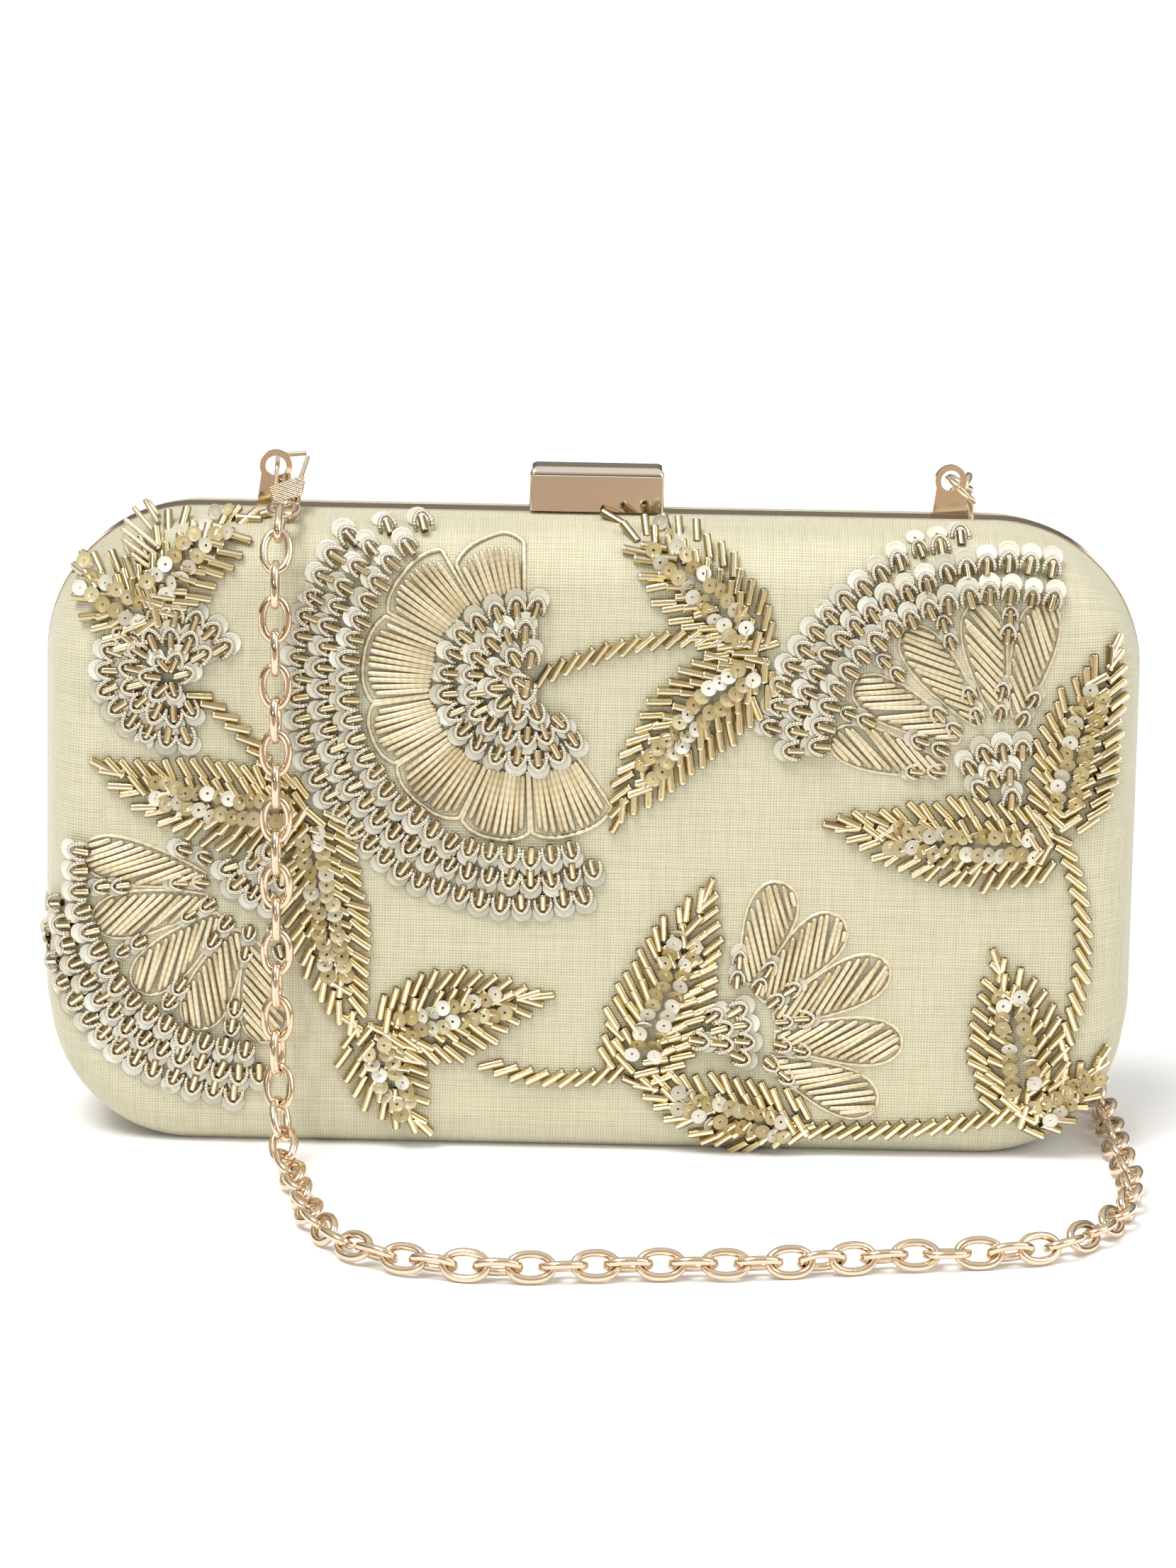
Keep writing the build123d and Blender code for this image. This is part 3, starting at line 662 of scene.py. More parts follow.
def sew_wire(sewing, line, radius=0.32, lift=0.3, sides=6):
    points, faces, along = wire_along(line, radius, lift, sides)
    still = (np.zeros(3), np.array([1.0, 0, 0]), np.array([0, 1.0, 0]), np.array([0, 0, 1.0]))
    sewing.add((points / MM, faces, along), still, SATIN_BAR, shade=np.array([0.9]))
    # The height round the wire, from which the materials paint a highlight along its top and shade down its
    # sides.
    sewing.tops[-1] = np.tile(np.sin(2 * np.pi * np.arange(sides) / sides), len(points) // sides)


BUGLE_GLASS, PEARL, HOOP_WIRE, SATIN_BAR, CLEAR_SEQUIN = range(5)
LONG_BUGLE = bugle_shape(4.7, 0.86)
SHORT_BUGLE = bugle_shape(2.9, 0.8)
SEQUIN = sequin_shape(1.98)
HOOP = hoop_shape(2.0, 1.5, 0.4)


def sew_unit(sewing, x, z, angle, size=1.0, lift=0.0):
    """One scallop: a pearl sequin at its outer end, a wire hoop over it, open to the root, and a short
    bugle lying inside the hoop. x and z (millimetres) are the sequin's middle."""
    x, z, angle, lift = np.broadcast_arrays(*(np.atleast_1d(v) for v in (x, z, angle, lift)))
    keep = on_bag(x, z)
    if not keep.any():
        return
    x, z, angle, lift = x[keep], z[keep], angle[keep], lift[keep]
    angle = angle + 0.09 * chaos.standard_normal(len(x))
    c, s = np.cos(angle), np.sin(angle)
    scale = size * (1 + 0.05 * chaos.standard_normal(len(x)))

    def spots(ahead, rise):
        return frame_on_face(x + ahead * size * c, z + ahead * size * s, angle, lift + rise)

    tilt = 0.12 + 0.1 * chaos.standard_normal(len(x))
    spot, way, sideways, out = spots(0.5, 0.75)
    leant = way * np.cos(tilt)[:, None] - out * np.sin(tilt)[:, None]
    leant_out = out * np.cos(tilt)[:, None] + way * np.sin(tilt)[:, None]
    sewing.add(SEQUIN, (spot, leant, sideways, leant_out), PEARL, stretch=scale, widen=scale)
    sewing.add(HOOP, spots(-1.15, 0.6), HOOP_WIRE, stretch=scale, widen=scale)
    amber = 0.4 * chaos.random(len(x))
    sewing.add(SHORT_BUGLE, spots(-1.5, 1.0), BUGLE_GLASS, amber, stretch=scale, widen=scale)


def sew_fan(sewing, middle, radii, spans, pitch=3.9, jitter=0.2, lift=0.0):
    """Rows of scallops on arcs about a middle point, each pointing outward, staggered row by row, the
    inner rows lapped over the outer ones."""
    outermost = max(radii)
    for k, (radius, span) in enumerate(zip(radii, spans)):
        lap = lift + 0.1 * (outermost - radius)
        count = max(1, int(round(math.radians(span[1] - span[0]) * radius / pitch)))
        angle = np.radians(span[0] + (span[1] - span[0]) * (np.arange(count) + 0.5 * (k % 2) + 0.25) / count)
        r = radius + jitter * chaos.standard_normal(count)
        sew_unit(sewing, middle[0] + r * np.cos(angle), middle[1] + r * np.sin(angle), angle, lift=lap)


def sew_knot(sewing, middle, facing, rows=(4.5, 8.8, 13.2), spread=36, lift=0.4):
    """A packed knot of scallops: short rows that open out from a root behind the middle."""
    root = (middle[0] - 9 * math.cos(math.radians(facing)), middle[1] - 9 * math.sin(math.radians(facing)))
    spans = [(facing - spread + 2 * k, facing + spread - 2 * k) for k in range(len(rows))]
    sew_fan(sewing, root, rows, spans, pitch=3.8, lift=lift)


WIRE_ROOM = 0.55


def petal_width(t):
    """How wide a petal is along its length: drawn in at the root, fullest beyond the middle, and round at
    the tip."""
    return np.clip(t + 0.04, 0, 1) ** 0.6 * np.sqrt(1 - np.clip(t, 0, 1) ** 4) / 0.72


def sew_petal(sewing, base, tip, half_wide, slant=0.56, lean=1):
    """A petal of bullion bars laid side by side at a slant right across it, inside a wire outline."""
    base, tip = np.array(base, float), np.array(tip, float)
    length = np.linalg.norm(tip - base)
    way = (tip - base) / length
    side = lean * np.array([-way[1], way[0]])
    t = np.sin(np.linspace(0, np.pi / 2, 40))
    width = half_wide * petal_width(t)
    left = base + t[:, None] * length * way + width[:, None] * side
    right = base + t[:, None] * length * way - width[:, None] * side
    sew_wire(sewing, np.concatenate([left, right[::-1], left[:1]]), 0.42, 0.4)
    reach = np.linspace(-1.2 * length, 1.2 * length, 400)
    slanted = way * math.cos(slant) + side * math.sin(slant)
    starts, lengths = [], []
    for place in np.arange(-0.8 * length, 1.2 * length, BAR_PITCH / math.sin(slant)):
        line = base + place * way + reach[:, None] * slanted
        ahead = (line - base) @ way / length
        beside = (line - base) @ side
        inside = (ahead > 0.02) & (ahead < 0.98)
        inside &= np.abs(beside) < half_wide * petal_width(np.clip(ahead, 0, 1)) - WIRE_ROOM
        if inside.sum() * (reach[1] - reach[0]) > 1.4:
            starts.append(line[inside][0])
            lengths.append(inside.sum() * (reach[1] - reach[0]))
    starts = np.array(starts)
    angle = math.atan2(slanted[1], slanted[0]) + 0.03 * chaos.standard_normal(len(starts))
    frames = frame_on_face(starts[:, 0], starts[:, 1], angle, 0.95)
    sewing.add(BAR, frames, SATIN_BAR, stretch=np.array(lengths))


def sew_pleated(sewing, focus, inner, outer, span):
    """A petal of a pleated flower: bars side by side, every one pointing from the focus, with a wire
    between petals and round the outside, the corners drawn in."""
    count = int(round(math.radians(span[1] - span[0]) * (inner + outer) / 2 / 1.15))
    turn = np.radians(np.linspace(span[0], span[1], count + 2)[1:-1])
    across = np.linspace(-1, 1, count)
    far = outer - 1.6 * np.abs(across) ** 3
    near = inner + 0.6 * np.abs(across)
    x, z = focus[0] + near * np.cos(turn), focus[1] + near * np.sin(turn)
    turn = turn + 0.012 * chaos.standard_normal(count)
    frames = frame_on_face(x, z, turn, BEAD_LIFT)
    sewing.add(BAR, frames, SATIN_BAR, stretch=far - near)
    edge = np.radians(np.linspace(span[0] - 0.4, span[1] + 0.4, 40))
    place = np.linspace(-1, 1, 40)
    rim = outer + 0.6 - 1.6 * np.abs(place) ** 3
    arc = np.stack([focus[0] + rim * np.cos(edge), focus[1] + rim * np.sin(edge)], 1)
    start = [focus[0] + inner * math.cos(edge[0]), focus[1] + inner * math.sin(edge[0])]
    end = [focus[0] + inner * math.cos(edge[-1]), focus[1] + inner * math.sin(edge[-1])]
    sew_wire(sewing, np.concatenate([[start], arc, [end]]), 0.46, 0.5)


def bezier(a, b, c, count):
    """Points and headings along a quadratic curve through three points, evenly spaced."""
    a, b, c = (np.array(p, float) for p in (a, b, c))
    control = 2 * b - (a + c) / 2
    t = np.linspace(0, 1, 200)[:, None]
    line = (1 - t) ** 2 * a + 2 * t * (1 - t) * control + t**2 * c
    reach = np.concatenate([[0], np.cumsum(np.linalg.norm(np.diff(line, axis=0), axis=1))])
    at = (np.arange(count) + 0.5) / count * reach[-1]
    x, z = (np.interp(at, reach, line[:, k]) for k in (0, 1))
    dx, dz = (np.interp(at, reach, np.gradient(line[:, k])) for k in (0, 1))
    return np.stack([x, z], 1), np.arctan2(dz, dx), reach[-1]


def leaf_width(t):
    """How wide a leaf is along its length: quickly full above the foot, then tapering to the tip."""
    return np.sin(np.pi * np.clip(0.16 + 0.84 * t, 0, 1) ** 0.8) ** 0.75


LEAF_PITCH = 2.4
ROW_STEP = 3.3
HALF_BUGLE = 2.3
SEQUIN_SHARE = 0.66
SEQUIN_PITCH = 0.95


def sew_leaf(sewing, foot, tip, half_wide, bow=0.0, slant=0.98):
    """A leaf of bugles standing out from a midline like a brush, in an outer and an inner row each side,
    flatter towards the tip, and two staggered lines of small sequins over the middle."""
    foot, tip = np.array(foot, float), np.array(tip, float)
    length = np.linalg.norm(tip - foot)
    way = (tip - foot) / length
    side = np.array([-way[1], way[0]])
    middle = (foot + tip) / 2 + bow * side
    half_wide = 1.14 * half_wide
    rows = max(3, int(length / LEAF_PITCH))
    for sign in (1, -1):
        for ring in (0, 1):
            line, heading, _ = bezier(foot, middle, tip, rows)
            at = (np.arange(rows) + 0.5 + 0.25 * sign) / rows
            room = half_wide * leaf_width(at) + 0.35 * chaos.standard_normal(rows) - ROW_STEP * ring
            steep = slant * (1 - 0.7 * at**2) + 0.1 * chaos.standard_normal(rows)
            angle = heading + sign * steep
            x = line[:, 0] - sign * room * np.sin(heading) - HALF_BUGLE * np.cos(angle)
            z = line[:, 1] + sign * room * np.cos(heading) - HALF_BUGLE * np.sin(angle)
            keep = (room > (0.2 if ring == 0 else 0.6)) & on_bag(x, z)
            rise = BEAD_LIFT + 0.35 * ring + 0.12 * chaos.random(rows)
            frames = frame_on_face(x[keep], z[keep], angle[keep], rise[keep])
            sewing.add(LONG_BUGLE, frames, BUGLE_GLASS, 0.35 + 0.65 * chaos.random(keep.sum()))
    point, end_way, _ = bezier(foot, middle, tip, rows)
    frames = frame_on_face(point[-1, 0], point[-1, 1], end_way[-1], BEAD_LIFT)
    sewing.add(LONG_BUGLE, frames, BUGLE_GLASS)
    count = int(length * SEQUIN_SHARE / SEQUIN_PITCH)
    spine, heading, _ = bezier(foot, middle, tip, int(count / SEQUIN_SHARE))
    spine, heading = spine[2 : count + 2], heading[2 : count + 2]
    count = len(spine)
    apart = 0.2 * half_wide * (-1.0) ** np.arange(count) + 0.3 * chaos.standard_normal(count)
    x = spine[:, 0] - apart * np.sin(heading)
    z = spine[:, 1] + apart * np.cos(heading)
    tilt = 0.5 + 0.2 * chaos.standard_normal(count)
    heading = heading + 0.5 * chaos.standard_normal(count)
    lift = 2.15 + 0.2 * chaos.random(count)
    spot, ahead, sideways, out = frame_on_face(x, z, heading, lift)
    leant = ahead * np.cos(tilt)[:, None] + out * np.sin(tilt)[:, None]
    leant_out = out * np.cos(tilt)[:, None] - ahead * np.sin(tilt)[:, None]
    clear = chaos.random(count) < 0.68
    for kind, chosen in ((PEARL, ~clear), (CLEAR_SEQUIN, clear)):
        if chosen.any():
            frames = tuple(v[chosen] for v in (spot, leant, sideways, leant_out))
            sewing.add(SEQUIN, frames, kind, stretch=0.76, widen=0.76)


def sew_stem(sewing, places, slant=0.6, pitch=2.75):
    """A stem of bugles laid one after another at a slant across its line, like rope."""
    _, _, length = bezier(*places, 10)
    count = int(length / pitch)
    line, heading, _ = bezier(*places, count)
    angle = heading + slant + 0.06 * chaos.standard_normal(count)
    frames = frame_on_face(line[:, 0], line[:, 1], angle, BEAD_LIFT)
    sewing.add(LONG_BUGLE, frames, BUGLE_GLASS, 0.35 + 0.65 * chaos.random(count))


BAR = bar_shape(1.0, 0.53)
BAR_PITCH = 1.12


def from_attribute(material, name):
    """One of the beads' own values."""
    return node_output(material, "Attribute", "Fac", attribute_name=name)


def shades(material, colours):
    """Each bead's own colour, from a ramp of colours over its shade."""
    stops = [(k / (len(colours) - 1), colour) for k, colour in enumerate(colours)]
    return ramped(material, from_attribute(material, "shade"), stops)


def paint_streak_and_shade(material, colour, highlight_colour, depth):
    """Paints a pale highlight streak along the top of each bead, and painted shade down its sides and
    underneath, over its own colour.
    """
    top = from_attribute(material, "top")
    slope = {"From_Min": -0.3, "From_Max": 0.7, "To_Min": depth}
    # Painted shade: the colour darkens down the bead's sides and underneath, to depth times its own.
    sides = node_output(material, "MapRange", "Result", Value=top, **slope)
    side_shaded = node_output(material, "VectorMath", "Vector", colour, operation="SCALE", Scale=sides)
    # Painted highlight: a pale line along the bead's top, in the bright colour.
    line = node_output(material, "MapRange", "Result", Value=top, From_Min=0.78, From_Max=0.88)
    return mixed(material, "MIX", line, side_shaded, (*highlight_colour, 1.0))


def silver_lined(name):
    """Gold glass over a silvered bore: a metal-like olive gold under a clear gloss, with painted shade in
    the bore and on the cut ends, a painted highlight streak along its top and painted shade down its sides.
    """
    gloss = {"Metallic": 0.9, "Roughness": 0.14, "Coat_Weight": 0.8, "Coat_Roughness": 0.05}
    material = new_material(name, (0.7, 0.56, 0.28), **gloss)
    glass = shades(material, [(0.3, 0.18, 0.05), (0.5, 0.37, 0.13), (0.66, 0.53, 0.24)])
    # Painted shade in the hollow: the bore and the cut ends go nearly black, brightening past the rims.
    marks = [(0.0, 0.06), (0.12, 0.12), (0.24, 0.75), (0.36, 1.0)]
    marks += [(1 - end, level) for end, level in marks[::-1]]
    stops = [(end, (level, level, level)) for end, level in marks]
    ends = ramped(material, from_attribute(material, "along"), stops)
    # A painted highlight streak along each bugle's top and painted shade down its sides, over its glass
    # colour.
    glass_with_painted_streak = paint_streak_and_shade(material, glass, (0.9, 0.84, 0.66), 0.66)
    finish(material, Base_Color=mixed(material, "MULTIPLY", 1.0, glass_with_painted_streak, ends))
    bumped(material, object_noise(material, 500.0, 1.0), 0.08, 0.0003)
    return material


def pearly(name, colours, see_through=0.0):
    """Pearl sequin: cream film with a satin gloss, a faint colour play and a slight let-through of light."""
    material = new_material(name, colours[0], Roughness=0.28, Coat_Weight=0.5, Coat_Roughness=0.15)
    finish(material, Transmission_Weight=see_through, Thin_Film_Thickness=380.0, Thin_Film_IOR=1.25)
    finish(material, Base_Color=shades(material, colours))
    bumped(material, object_noise(material, 700.0), 0.3, 0.0003)
    return material


def coiled(name, colours, roughness, turns, depth, metal):
    """Wire thread: metal with fine grooves across its length, read from how far along each point stands, the
    colour painted darker in the grooves as shade, with a painted highlight streak along the top and painted
    shade down the sides.
    """
    material = new_material(name, colours[0], Metallic=metal, Roughness=roughness)
    coil = maths(material, "MULTIPLY", from_attribute(material, "along"), turns * 2 * math.pi)
    wave = maths(material, "SINE", coil)
    # Painted shade in the grooves: the colour darkens by depth where the coil turns dip.
    groove_shade = node_output(material, "MapRange", "Result", Value=wave, From_Min=-1.0, To_Min=1.0 - depth)
    # A painted highlight streak along the top, in the palest colour, and painted shade down the sides.
    wire = paint_streak_and_shade(material, shades(material, colours), colours[-1], 0.34)
    groove_shaded = node_output(material, "VectorMath", "Vector", wire, operation="SCALE", Scale=groove_shade)
    finish(material, Base_Color=groove_shaded)
    bumped(material, wave, depth, 0.0001)
    return material


CRIMPED_GOLD = [(0.55, 0.45, 0.28), (0.7, 0.61, 0.43), (0.86, 0.79, 0.62)]
SATIN_GOLD = [(0.6, 0.49, 0.29), (0.71, 0.61, 0.39), (0.85, 0.76, 0.54)]
BEADS = [
    silver_lined("gold_bugle_glass"),
    pearly("pearl_sequin", [(0.6, 0.56, 0.41), (0.74, 0.7, 0.56), (0.88, 0.86, 0.74)]),
    coiled("crimped_wire", CRIMPED_GOLD, roughness=0.25, turns=17, depth=0.4, metal=0.8),
    coiled("satin_bullion", SATIN_GOLD, roughness=0.38, turns=22, depth=0.12, metal=0.6),
    pearly("clear_gold_sequin", [(0.66, 0.51, 0.2), (0.86, 0.77, 0.46)], 0.4),
]


def sewn(sewing, name, pads):
    """Finishes a motif: the piece rides on the front half and stands for the pads it is worked over."""
    made = sewing.piece(name, "front_half", BEADS)
    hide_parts(*pads)
    return made


# ---- Main flower --------------------------------------------------------------------------------
# Seven pleated petals of bullion bars round a crown of scallops, with three rows of scallops outside.

MAIN_FOCUS = (-12.3, 88.0)
main = Sewing()
sew_pleated(main, MAIN_FOCUS, 16.2, 25.6, (92, 121))
for span in ((124, 153), (155.5, 188), (190, 213), (215, 245), (247, 272), (274, 305)):
    sew_pleated(main, MAIN_FOCUS, 16.4, 28.9, span)
sew_fan(main, MAIN_FOCUS, (33.0, 37.5, 42.0), ((98, 291), (100, 292), (104, 290)))
sew_fan(main, MAIN_FOCUS, (15.0, 10.6, 6.2, 2.2), ((78, 322), (75, 318), (70, 320), (60, 300)), lift=0.6)
sewn(main, "main_flower", ["flower_main"])

# ---- Right flower -------------------------------------------------------------------------------
# Five slender petals opening up and to the left from a knot, and three rows of scallops over them.

RIGHT_FOCUS = (73.0, 73.6)
right = Sewing()
RIGHT_PETALS = [
    ((64.2, 73.3), (43.1, 78.9)),
    ((66.5, 79.0), (47.1, 89.0)),
    ((69.9, 82.1), (56.1, 99.2)),
    ((73.1, 83.6), (68.9, 104.3)),
    ((76.5, 83.3), (81.1, 104.6)),
]
for (base, tip), lean in zip(RIGHT_PETALS, (-1, 1, 1, 1, 1)):
    sew_petal(right, base, tip, 3.9, lean=lean)


def sew_between(sewing, focus, petals, reach):
    """Scallops pointing outward in the gaps between a flower's petals, and outside the end ones."""
    angles = np.array([math.atan2(tip[1] - focus[1], tip[0] - focus[0]) for _, tip in petals])
    angles = np.unwrap(angles)
    gap = np.abs(np.diff(angles)).mean() * np.sign(angles[-1] - angles[0])
    between = np.concatenate([[angles[0] - gap / 2], (angles[1:] + angles[:-1]) / 2, [angles[-1] + gap / 2]])
    for r in reach:
        at = between if r < 20 else between[1:-1]
        sew_unit(sewing, focus[0] + r * np.cos(at), focus[1] + r * np.sin(at), at, size=0.86)


sew_between(right, RIGHT_FOCUS, RIGHT_PETALS, (11.5, 15.5, 26.0, 29.5))
sew_fan(right, RIGHT_FOCUS, (33.2, 37.8, 42.2), ((72, 178), (72, 177), (88, 174)))
sew_knot(right, RIGHT_FOCUS, 112)
sewn(right, "right_flower", ["flower_right"])

# ---- Left flower --------------------------------------------------------------------------------
# The same flower facing down and to the left, its scallops running round the bag's edge.

LEFT_FOCUS = (-60.0, 51.0)
left = Sewing()
LEFT_PETALS = [
    ((-69.7, 50.4), (-92.2, 54.9)),
    ((-68.9, 46.5), (-90.2, 41.9)),
    ((-67.2, 43.6), (-82.4, 29.5)),
    ((-63.8, 40.9), (-71.9, 22.3)),
    ((-61.1, 38.7), (-58.2, 19.9)),
]
for base, tip in LEFT_PETALS:
    sew_petal(left, base, tip, 4.2)
sew_between(left, LEFT_FOCUS, LEFT_PETALS, (11.5, 15.5, 26.0, 29.5))
sew_fan(left, LEFT_FOCUS, (33.4, 37.8, 42.0), ((171, 271), (186, 272), (199, 268)))
sew_knot(left, LEFT_FOCUS, 235)
sewn(left, "left_flower", ["flower_left"])

# ---- Low flower ---------------------------------------------------------------------------------
# Five petals fanning to the right from a small knot, with nothing outside them.

LOW_FOCUS = (26.5, 24.0)
low = Sewing()
LOW_PETALS = [
    ((29.1, 32.8), (35.1, 51.7)),
    ((31.6, 29.9), (45.8, 45.3)),
    ((34.3, 26.1), (54.7, 36.6)),
    ((34.4, 22.6), (57.6, 22.0)),
    ((34.0, 18.1), (53.2, 9.9)),
]
for base, tip in LOW_PETALS:
    sew_petal(low, base, tip, 4.4)
sew_between(low, LOW_FOCUS, LOW_PETALS, (10.5, 14.2))
sew_knot(low, LOW_FOCUS, 8, rows=(4.0, 8.2, 12.2))
sewn(low, "low_flower", ["flower_low"])

# ---- Bud ----------------------------------------------------------------------------------------
# A three lobed bud of scallops at the upper left, and a single bullion petal in the corner above it.

bud = Sewing()
sew_fan(bud, (-76.5, 88.0), (4.0, 8.2, 12.2), ((0, 330), (15, 310), (25, 300)))
sew_petal(bud, (-79.0, 106.1), (-84.1, 117.0), 3.8)
sewn(bud, "bud", ["bud_cluster"])

# ---- Leaves -------------------------------------------------------------------------------------
# Thirteen leaves of bugles laid herringbone, with sequins up the middle, scattered between the flowers.

LEAVES = [
    (((-79.6, 98.5), (-95.7, 106.2), 7.0, 0.0), "leaf_1"),
    (((-80.7, 101.9), (-60.0, 116.6), 6.6, 1.9), "leaf_2"),
    (((-52.5, 63.9), (-89.8, 71.7), 7.2, 2.7), "leaf_3"),
    (((-51.2, 61.7), (-41.3, 21.1), 7.0, -1.0), "leaf_4"),
    (((-35.4, 22.3), (-7.1, 29.8), 7.4, 1.0), "leaf_5"),
    (((-39.2, 22.2), (-28.7, 3.8), 6.8, -1.5), "leaf_6"),
    (((28.4, 95.6), (1.9, 118.5), 7.2, -1.6), "leaf_7"),
    (((29.7, 92.4), (4.4, 61.7), 7.2, -2.4), "leaf_8"),
    (((82.6, 60.0), (43.2, 62.8), 7.2, 1.3), "leaf_9"),
    (((85.6, 64.4), (94.2, 97.3), 7.0, 1.5), "leaf_10"),
    (((80.1, 11.6), (73.9, 39.2), 8.0, -1.0), "leaf_11"),
    (((9.3, 16.5), (22.0, 51.4), 8.0, 0.1), "leaf_12"),
    (((39.1, 5.6), (7.7, 14.2), 6.4, 1.0), "leaf_13"),
]
for (foot, tip, half_wide, bow), pad in LEAVES:
    leaf = Sewing()
    sew_leaf(leaf, foot, tip, half_wide, bow)
    sewn(leaf, f"beaded_{pad}", [pad])
corner = Sewing()
sew_leaf(corner, (80.5, 8.6), (94.5, 21.0), 5.2, -1.5)
sewn(corner, "beaded_corner_leaf", [])

# ---- Stems --------------------------------------------------------------------------------------
# Five ropes of slanted bugles that join the flowers to their leaves.

STEMS = [
    (((-10.2, 88.7), (11.4, 96.2), (32.4, 95.3)), "stem_1"),
    (((-72.3, 85.3), (-62.5, 76.8), (-54.9, 64.9)), "stem_2"),
    (((-18.7, 17.1), (-6.8, 14.2), (7.1, 15.9)), "stem_3"),
    (((35.9, 5.8), (58.0, 5.8), (80.1, 9.5)), "stem_4"),
    (((84.4, 62.2), (89.9, 43.0), (86.6, 20.3)), "stem_5"),
]
for places, pad in STEMS:
    stem = Sewing()
    sew_stem(stem, places)
    sewn(stem, f"beaded_{pad}", [pad])

# ---- Metal fittings -----------------------------------------------------------------------------
# The frame halves, clasp, lugs, ring and clip stay as modelled and get their plating: pale gold on the
# frame, a rosier gold on the fittings, and bare bright steel on the pins and spring.

frame_gold = polished("frame_gold", (0.88, 0.68, 0.5), 0.11)
clasp_gold = polished("clasp_gold", (0.92, 0.8, 0.67), 0.06)
fitting_gold = polished("fitting_gold", (0.9, 0.73, 0.56), 0.12)
ribbed_gold = polished("ribbed_gold", (0.9, 0.76, 0.6), 0.16)
RIB_SLOPE = (2800.0, 5200.0, 4000.0)
place = node_output(ribbed_gold, "TexCoord", "Object")
slope = node_output(ribbed_gold, "VectorMath", "Value", place, RIB_SLOPE, operation="DOT_PRODUCT")
bumped(ribbed_gold, maths(ribbed_gold, "SINE", slope), 0.9, 0.0004)
bright_steel = polished("bright_steel", (0.78, 0.78, 0.77), 0.25)


def finish_node(name, material):
    """Gives a modelled node its material in place of its plain one."""
    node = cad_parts[name]
    node.data.materials.clear()
    node.data.materials.append(material)


for name in ("front_frame", "back_frame"):
    finish_node(name, frame_gold)
for name in ("clasp_base", "clasp_bar"):
    finish_node(name, clasp_gold)
for name in ("lug_left", "lug_right", "jump_ring", "clip_hook", "clip_gate", "clasp_strike"):
    finish_node(name, fitting_gold)
finish_node("clip_body", ribbed_gold)
for name in ("clasp_pin", "clasp_spring", "hinge_pin_left", "hinge_pin_right"):
    finish_node(name, bright_steel)
for name in ("front_hinge_rivets", "back_hinge_rivets"):
    finish_node(name, bright_steel)
for half in ("front", "back"):
    for hand in ("left", "right"):
        finish_node(f"hinge_leaf_{half}_{hand}", fitting_gold)

# ---- Inside -------------------------------------------------------------------------------------
# Grey board shells and wadding under the silk, and a champagne satin lining with a slip pocket.


def board(name):
    """Pressed fibre board: grey brown with short fibres and a felted surface."""
    material = new_material(name, (0.45, 0.39, 0.31), Roughness=0.9)
    fibre = object_noise(material, 900.0, 6.0, Roughness=0.7)
    stops = [(0.0, (0.33, 0.28, 0.22)), (1.0, (0.6, 0.54, 0.45))]
    finish(material, Base_Color=ramped(material, fibre, stops))
    bumped(material, fibre, 0.5, 0.0003)
    return material


def satin(name, pale, deep):
    """Satin lining: a smooth sheen with long fine warp threads and a slow drift in tone."""
    material = new_material(name, pale, Roughness=0.38, Sheen_Weight=0.3)
    place = node_output(material, "TexCoord", "Object")
    drawn = node_output(material, "Mapping", "Vector", Vector=place, Scale=(4000.0, 4000.0, 120.0))
    warp = node_output(material, "TexNoise", "Fac", Vector=drawn, Scale=1.0, Detail=2.0)
    both = maths(material, "ADD", warp, object_noise(material, 45.0, 3.0))
    stops = [(0.7, deep), (1.0, pale)]
    finish(material, Base_Color=ramped(material, maths(material, "MULTIPLY", both, 0.9), stops))
    bumped(material, warp, 0.2, 0.0001)
    return material


fibre_board = board("fibre_board")
lining_satin = satin("champagne_satin", (0.8, 0.7, 0.52), (0.66, 0.55, 0.37))
for half in ("front", "back"):
    finish_node(f"{half}_shell", fibre_board)
    finish_node(f"{half}_padding", fibre_board)
    finish_node(f"{half}_lining", lining_satin)
finish_node("slip_pocket", lining_satin)

# ---- Ground and light ---------------------------------------------------------------------------
# A plain white ground, a pale sky that darkens towards the horizon, two wide soft lights, and a brown
# card low in front that only reflections see, so that the metal and glass keep their dark edges.

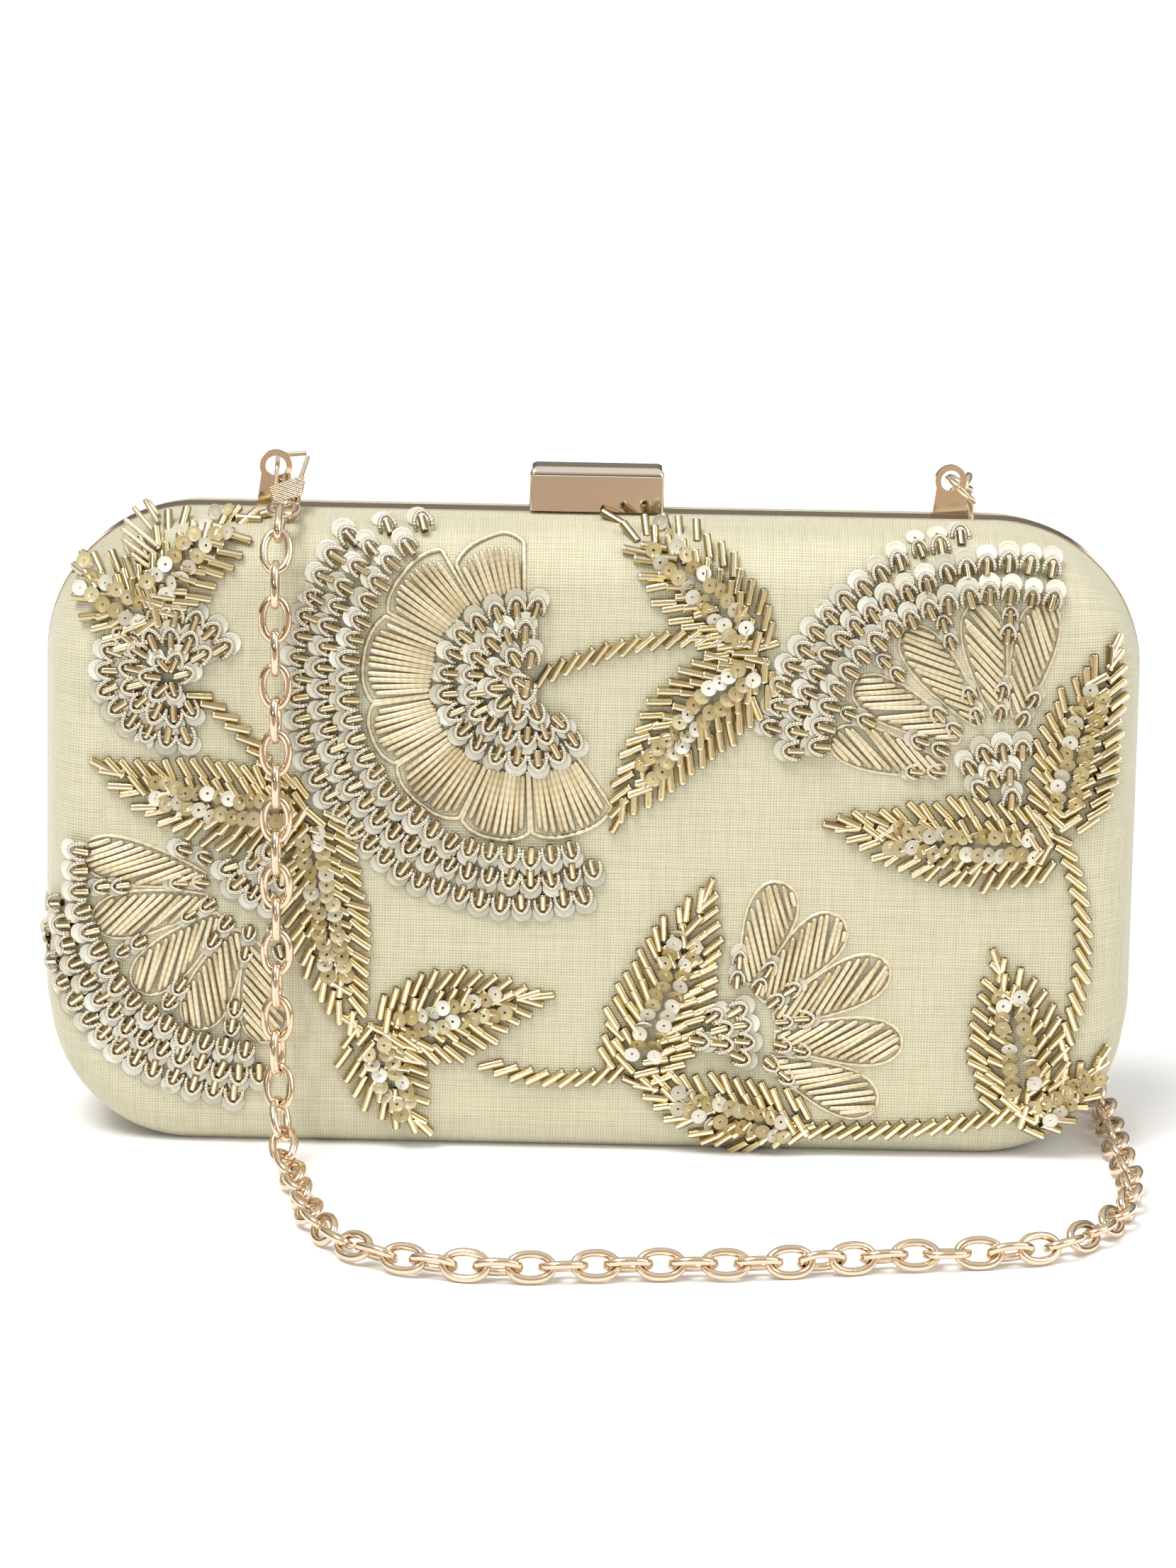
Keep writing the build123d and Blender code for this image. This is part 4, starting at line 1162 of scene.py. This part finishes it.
ground_white = new_material("ground_white", (0.95, 0.95, 0.95), Roughness=0.8)
stops = [(0.0, (0.94, 0.94, 0.94)), (1.0, (0.96, 0.96, 0.96))]
finish(ground_white, Base_Color=ramped(ground_white, object_noise(ground_white, 30.0), stops))
GROUND = [(-9.0, -9.0, 0.0), (9.0, -9.0, 0.0), (9.0, 9.0, 0.0), (-9.0, 9.0, 0.0)]
ground = new_piece("ground", GROUND, [(0, 1, 2, 3)], None, materials=[ground_white])

world = bpy.data.worlds.new("studio")
world.use_nodes = True
scene.world = world
sky = world.node_tree.nodes["Background"]
height = node_output(world, "SeparateXYZ", "Z", node_output(world, "TexCoord", "Generated"))
stops = [(0.0, (0.16, 0.14, 0.11)), (0.3, (0.38, 0.35, 0.31)), (0.75, (1.0, 1.0, 1.0))]
feed(sky.inputs["Color"], ramped(world, height, stops))
feed(sky.inputs["Strength"], 0.8)


def far_light(name, place, angle, strength):
    """A distant soft light, even over the whole ground, shining from a place towards the bag."""
    lamp = bpy.data.lights.new(name, "SUN")
    lamp.angle = math.radians(angle)
    lamp.energy = strength
    light = bpy.data.objects.new(name, lamp)
    light.location = place
    light.rotation_euler = (-Vector(place)).to_track_quat("-Z", "Y").to_euler()
    scene.collection.objects.link(light)


far_light("key", (-0.7, -0.8, 2.0), 30.0, 2.4)
far_light("glint", (-0.7, -2.0, 0.7), 7.0, 0.4)
far_light("fill", (1.8, -0.8, 1.0), 50.0, 0.95)

card_brown = new_material("card_brown", (0.09, 0.06, 0.035), Roughness=0.9)
stops = [(0.0, (0.42, 0.3, 0.2)), (1.0, (0.8, 0.68, 0.56))]
finish(card_brown, Base_Color=ramped(card_brown, object_noise(card_brown, 12.0), stops))
CARD = [(-0.5, -0.24, 0.004), (0.5, -0.24, 0.004), (0.5, -0.24, 0.1), (-0.5, -0.24, 0.1)]
card = new_piece("card", CARD, [(0, 1, 2, 3)], None, materials=[card_brown])
card.visible_camera = False
card.visible_diffuse = False
card.visible_shadow = False
card.visible_transmission = False
